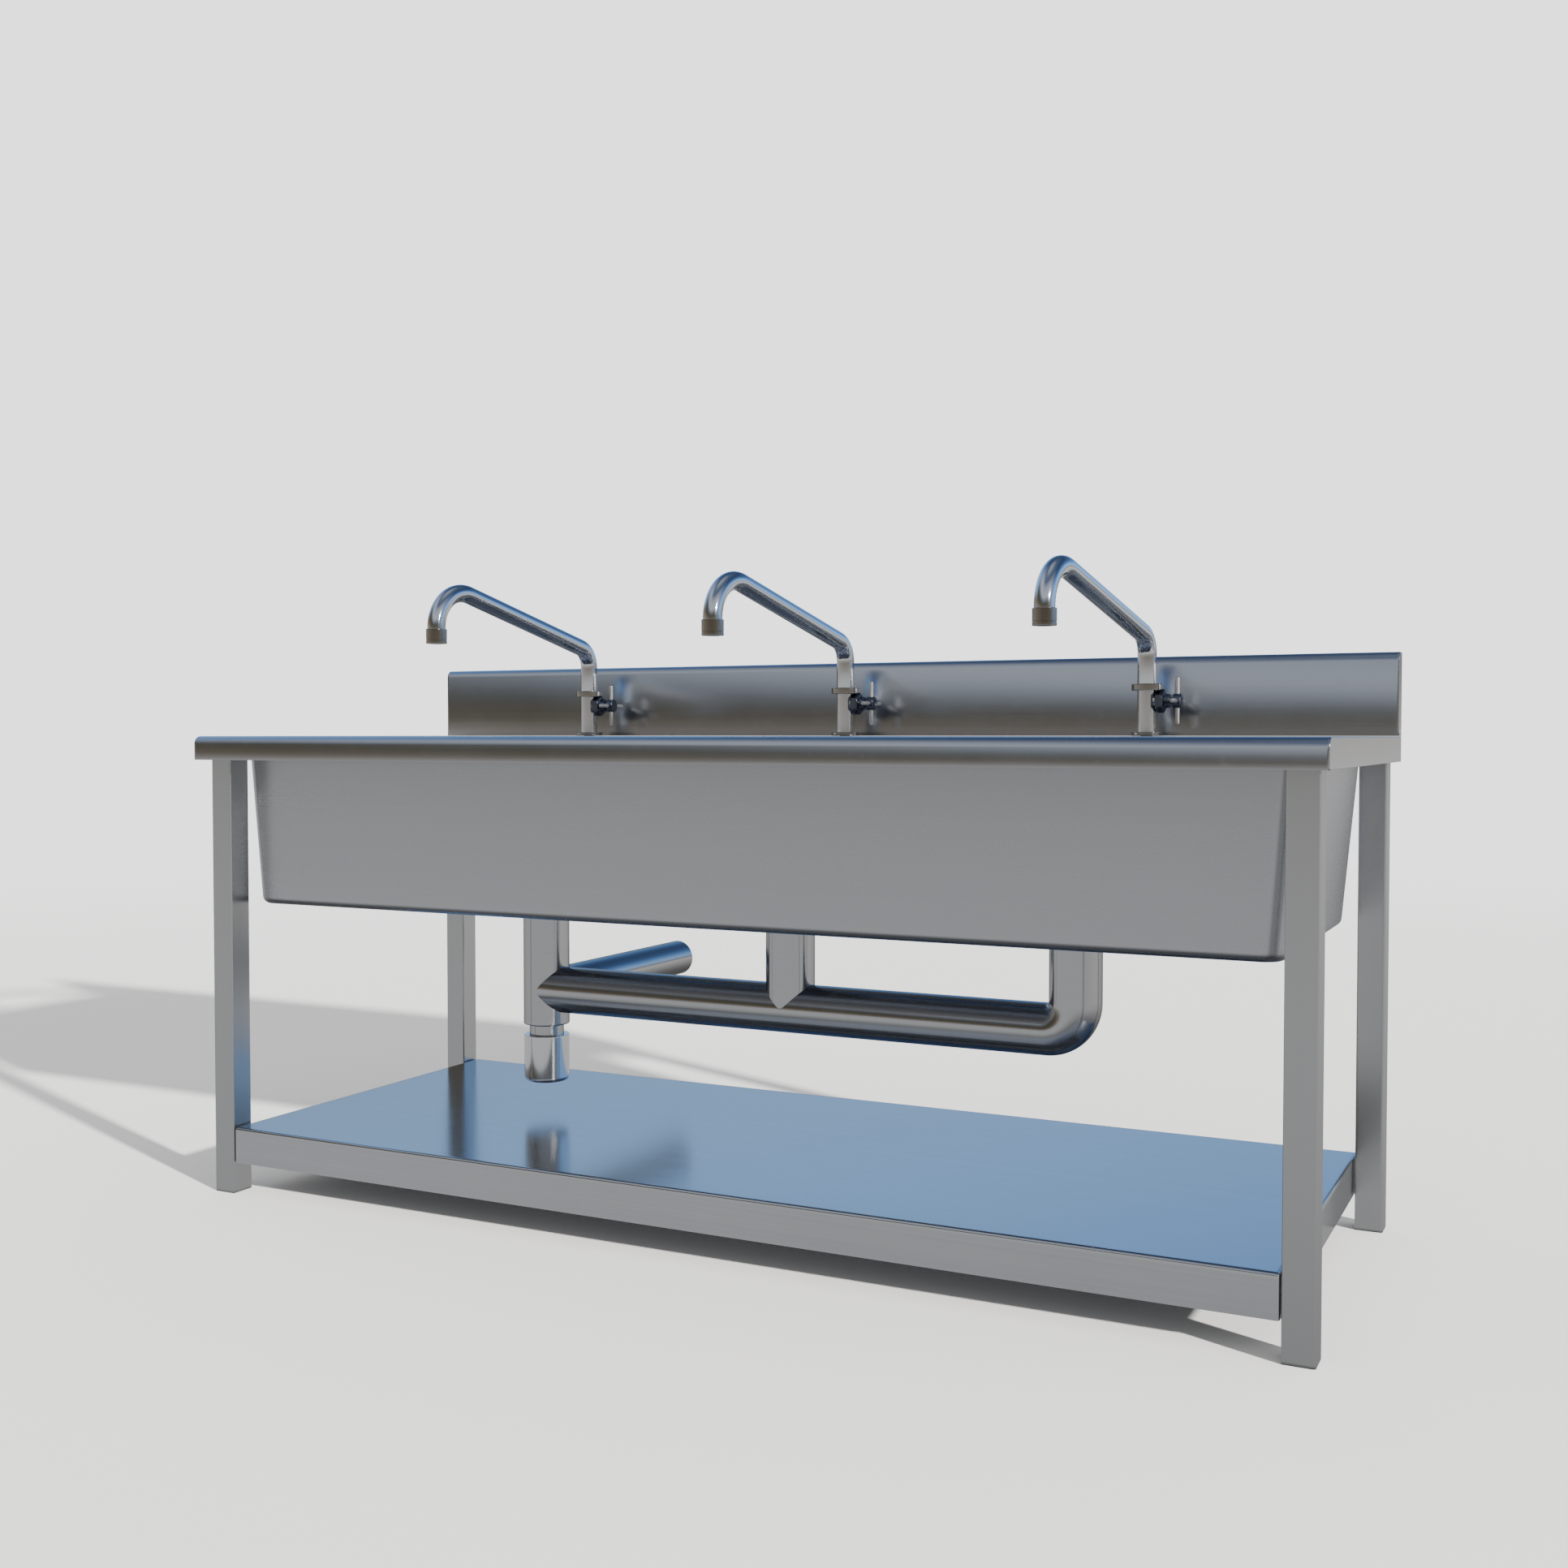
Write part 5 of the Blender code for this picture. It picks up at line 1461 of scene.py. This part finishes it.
@dataclass
class Studio:
    """Plain pale floor, soft light from a sky above warm ground, a low sun from the right, and the camera."""

    floor_tone: float = 0.70
    backdrop: float = 2.25
    ambient: float = 1.12
    sun_travel: tuple[float, float, float] = (-0.869, 0.352, -0.347)
    sun_power: float = 15.2
    leftward_horizon: float = 0.2
    front_sky: Sky = (
        (-90, (0.07, 0.075, 0.085)), (-50, (0.08, 0.085, 0.095)), (-30, (0.22, 0.22, 0.22)),
        (-14, (0.52, 0.53, 0.54)), (-1, (0.54, 0.55, 0.56)), (1, (0.28, 0.25, 0.22)),
        (4, (0.13, 0.105, 0.07)), (10, (0.07, 0.07, 0.055)), (15, (0.18, 0.20, 0.23)),
        (23, (0.50, 0.54, 0.60)), (40, (0.38, 0.42, 0.50)), (54, (0.10, 0.13, 0.22)),
        (66, (0.13, 0.17, 0.25)), (90, (0.33, 0.37, 0.44)),
    )
    rear_sky: Sky = (
        (-90, (0.07, 0.075, 0.085)), (-50, (0.08, 0.085, 0.095)), (-30, (0.22, 0.22, 0.22)),
        (-12, (0.52, 0.52, 0.52)), (-2, (0.74, 0.73, 0.72)), (0.5, (0.55, 0.52, 0.48)),
        (2.5, (0.20, 0.17, 0.14)), (5, (0.40, 0.62, 0.95)), (11, (0.36, 0.65, 1.12)),
        (19, (0.15, 0.34, 0.76)), (27, (0.07, 0.14, 0.32)), (40, (0.03, 0.06, 0.14)),
        (62, (0.08, 0.12, 0.20)), (90, (0.33, 0.37, 0.44)),
    )
    rear_blend: tuple[float, float] = (-0.35, 0.35)
    floor_radius: float = 12.0
    floor_steps: int = 96
    floor_level: float = -0.0005
    floor_roughness: float = 0.9
    floor_fade: tuple[float, float] = (3.2, 9.0)
    sun_colour: Colour = (1.0, 0.97, 0.93)
    sun_spread: float = 2.0
    sun_shine: float = 0.10
    camera_place: tuple[float, float, float] = (1.3542, -2.767, 0.854)
    camera_turn: tuple[float, float, float] = (90 - 1.708, 0.0, 26.58)
    camera_lens: float = 38.583
    camera_sensor: float = 36.0

    def build_floor(self) -> None:
        """A wide round floor that fades into the backdrop towards its rim."""
        angle = np.arange(self.floor_steps) * FULL / self.floor_steps
        rim = self.floor_radius * np.stack((np.cos(angle), np.sin(angle), np.zeros_like(angle)), axis=1)
        mesh = bpy.data.meshes.new("floor")
        mesh.from_pydata(rim.tolist(), [], [list(range(self.floor_steps))])
        floor = bpy.data.objects.new("floor", mesh)
        bpy.context.scene.collection.objects.link(floor)
        floor.location.z = self.floor_level
        floor.visible_glossy = False
        graph = Coat("pale_floor")
        tone = self.floor_tone
        graph.shader.inputs["Base Color"].default_value = (tone, tone, tone, 1)
        graph.shader.inputs["Roughness"].default_value = self.floor_roughness
        graph.shader.inputs["Specular IOR Level"].default_value = 0.0
        far = graph.add("VectorMath", {0: graph.place("Object")}, operation="LENGTH").outputs["Value"]
        graph.feed(graph.shader, "Alpha", graph.ranged(far, self.floor_fade, 1.0, 0.0))
        mesh.materials.append(graph.material)

    def sky_stops(self, sky: Sky) -> list[tuple[float, Colour]]:
        """Places of a sky's colours on a ramp that runs from straight down, 0, to straight up, 1."""
        return [((math.sin(math.radians(elevation)) + 1) / 2, colour) for elevation, colour in sky]

    def build_world(self) -> None:
        """The surroundings: pale to the eye, even light for the floor, sky above warm ground in reflections.

        The height that a reflection looks at is the smaller of z and z times a factor. The factor falls from
        1 to the leftward horizon as the direction turns left, so the low sky reaches higher on that side.
        """
        world = bpy.data.worlds.new("studio")
        bpy.context.scene.world = world
        world.use_nodes = True
        world.node_tree.nodes.clear()
        graph = Graph(world.node_tree)
        heading = graph.add("SeparateXYZ", {0: graph.add("TexCoord").outputs["Generated"]}).outputs
        factor = graph.ranged(heading["X"], (-1.0, 0.0), self.leftward_horizon, 1.0)
        lowered = graph.add("Math", {0: heading["Z"], 1: factor}, operation="MULTIPLY").outputs[0]
        level = graph.add("Math", {0: heading["Z"], 1: lowered}, operation="MINIMUM").outputs[0]
        height = graph.ranged(level, (-1.0, 1.0), 0.0, 1.0)
        rear = graph.ranged(heading["Y"], self.rear_blend, 0.0, 1.0)
        front_tone = graph.ramp(height, self.sky_stops(self.front_sky))
        rear_tone = graph.ramp(height, self.sky_stops(self.rear_sky))
        sky = graph.add("Mix", {0: rear, 6: front_tone, 7: rear_tone}, data_type="RGBA").outputs[2]
        ray = graph.add("LightPath").outputs
        strength = graph.ranged(ray["Is Camera Ray"], (0.0, 1.0), self.ambient, self.backdrop)
        seen = graph.add("Background", {"Color": (1, 1, 1, 1), "Strength": strength}).outputs[0]
        mirrored = graph.add("Background", {"Color": sky}).outputs[0]
        mixed = graph.add("MixShader", {0: ray["Is Glossy Ray"], 1: seen, 2: mirrored}).outputs[0]
        graph.add("OutputWorld", {0: mixed})

    def build_sun(self) -> None:
        """The low sun in two shares: most of it gives no highlights, and a small share shines on metal."""
        shares = (("sun", 1.0 - self.sun_shine, False), ("sun_on_metal", self.sun_shine, True))
        for name, share, shines in shares:
            light = bpy.data.lights.new(name, "SUN")
            light.energy = self.sun_power * share
            light.angle = math.radians(self.sun_spread)
            light.color = self.sun_colour
            sun = bpy.data.objects.new(name, light)
            sun.rotation_euler = Vector(self.sun_travel).to_track_quat("-Z", "Y").to_euler()
            sun.visible_glossy = shines
            bpy.context.scene.collection.objects.link(sun)

    def build_camera(self) -> None:
        """The camera."""
        lens = bpy.data.cameras.new("camera")
        lens.lens = self.camera_lens
        lens.sensor_width = self.camera_sensor
        camera = bpy.data.objects.new("camera", lens)
        camera.location = self.camera_place
        camera.rotation_euler = [math.radians(angle) for angle in self.camera_turn]
        bpy.context.scene.collection.objects.link(camera)
        bpy.context.scene.camera = camera

    def build(self) -> None:
        """Floor, world, sun and camera."""
        self.build_floor()
        self.build_world()
        self.build_sun()
        self.build_camera()


def main() -> None:
    """Builds every sub-assembly in order, from the studio to the taps."""
    logging.basicConfig(level=logging.INFO, format="%(name)s %(message)s")
    parts = [Studio(), Worktop(), Basin(), Stand(), Waste()]
    parts += [Drain(side) for side in SIDES] + [Tap(side) for side in SIDES]
    for part in parts:
        part.build()
        LOG.info("built %s", type(part).__name__)


if __name__ == "__main__":
    main()
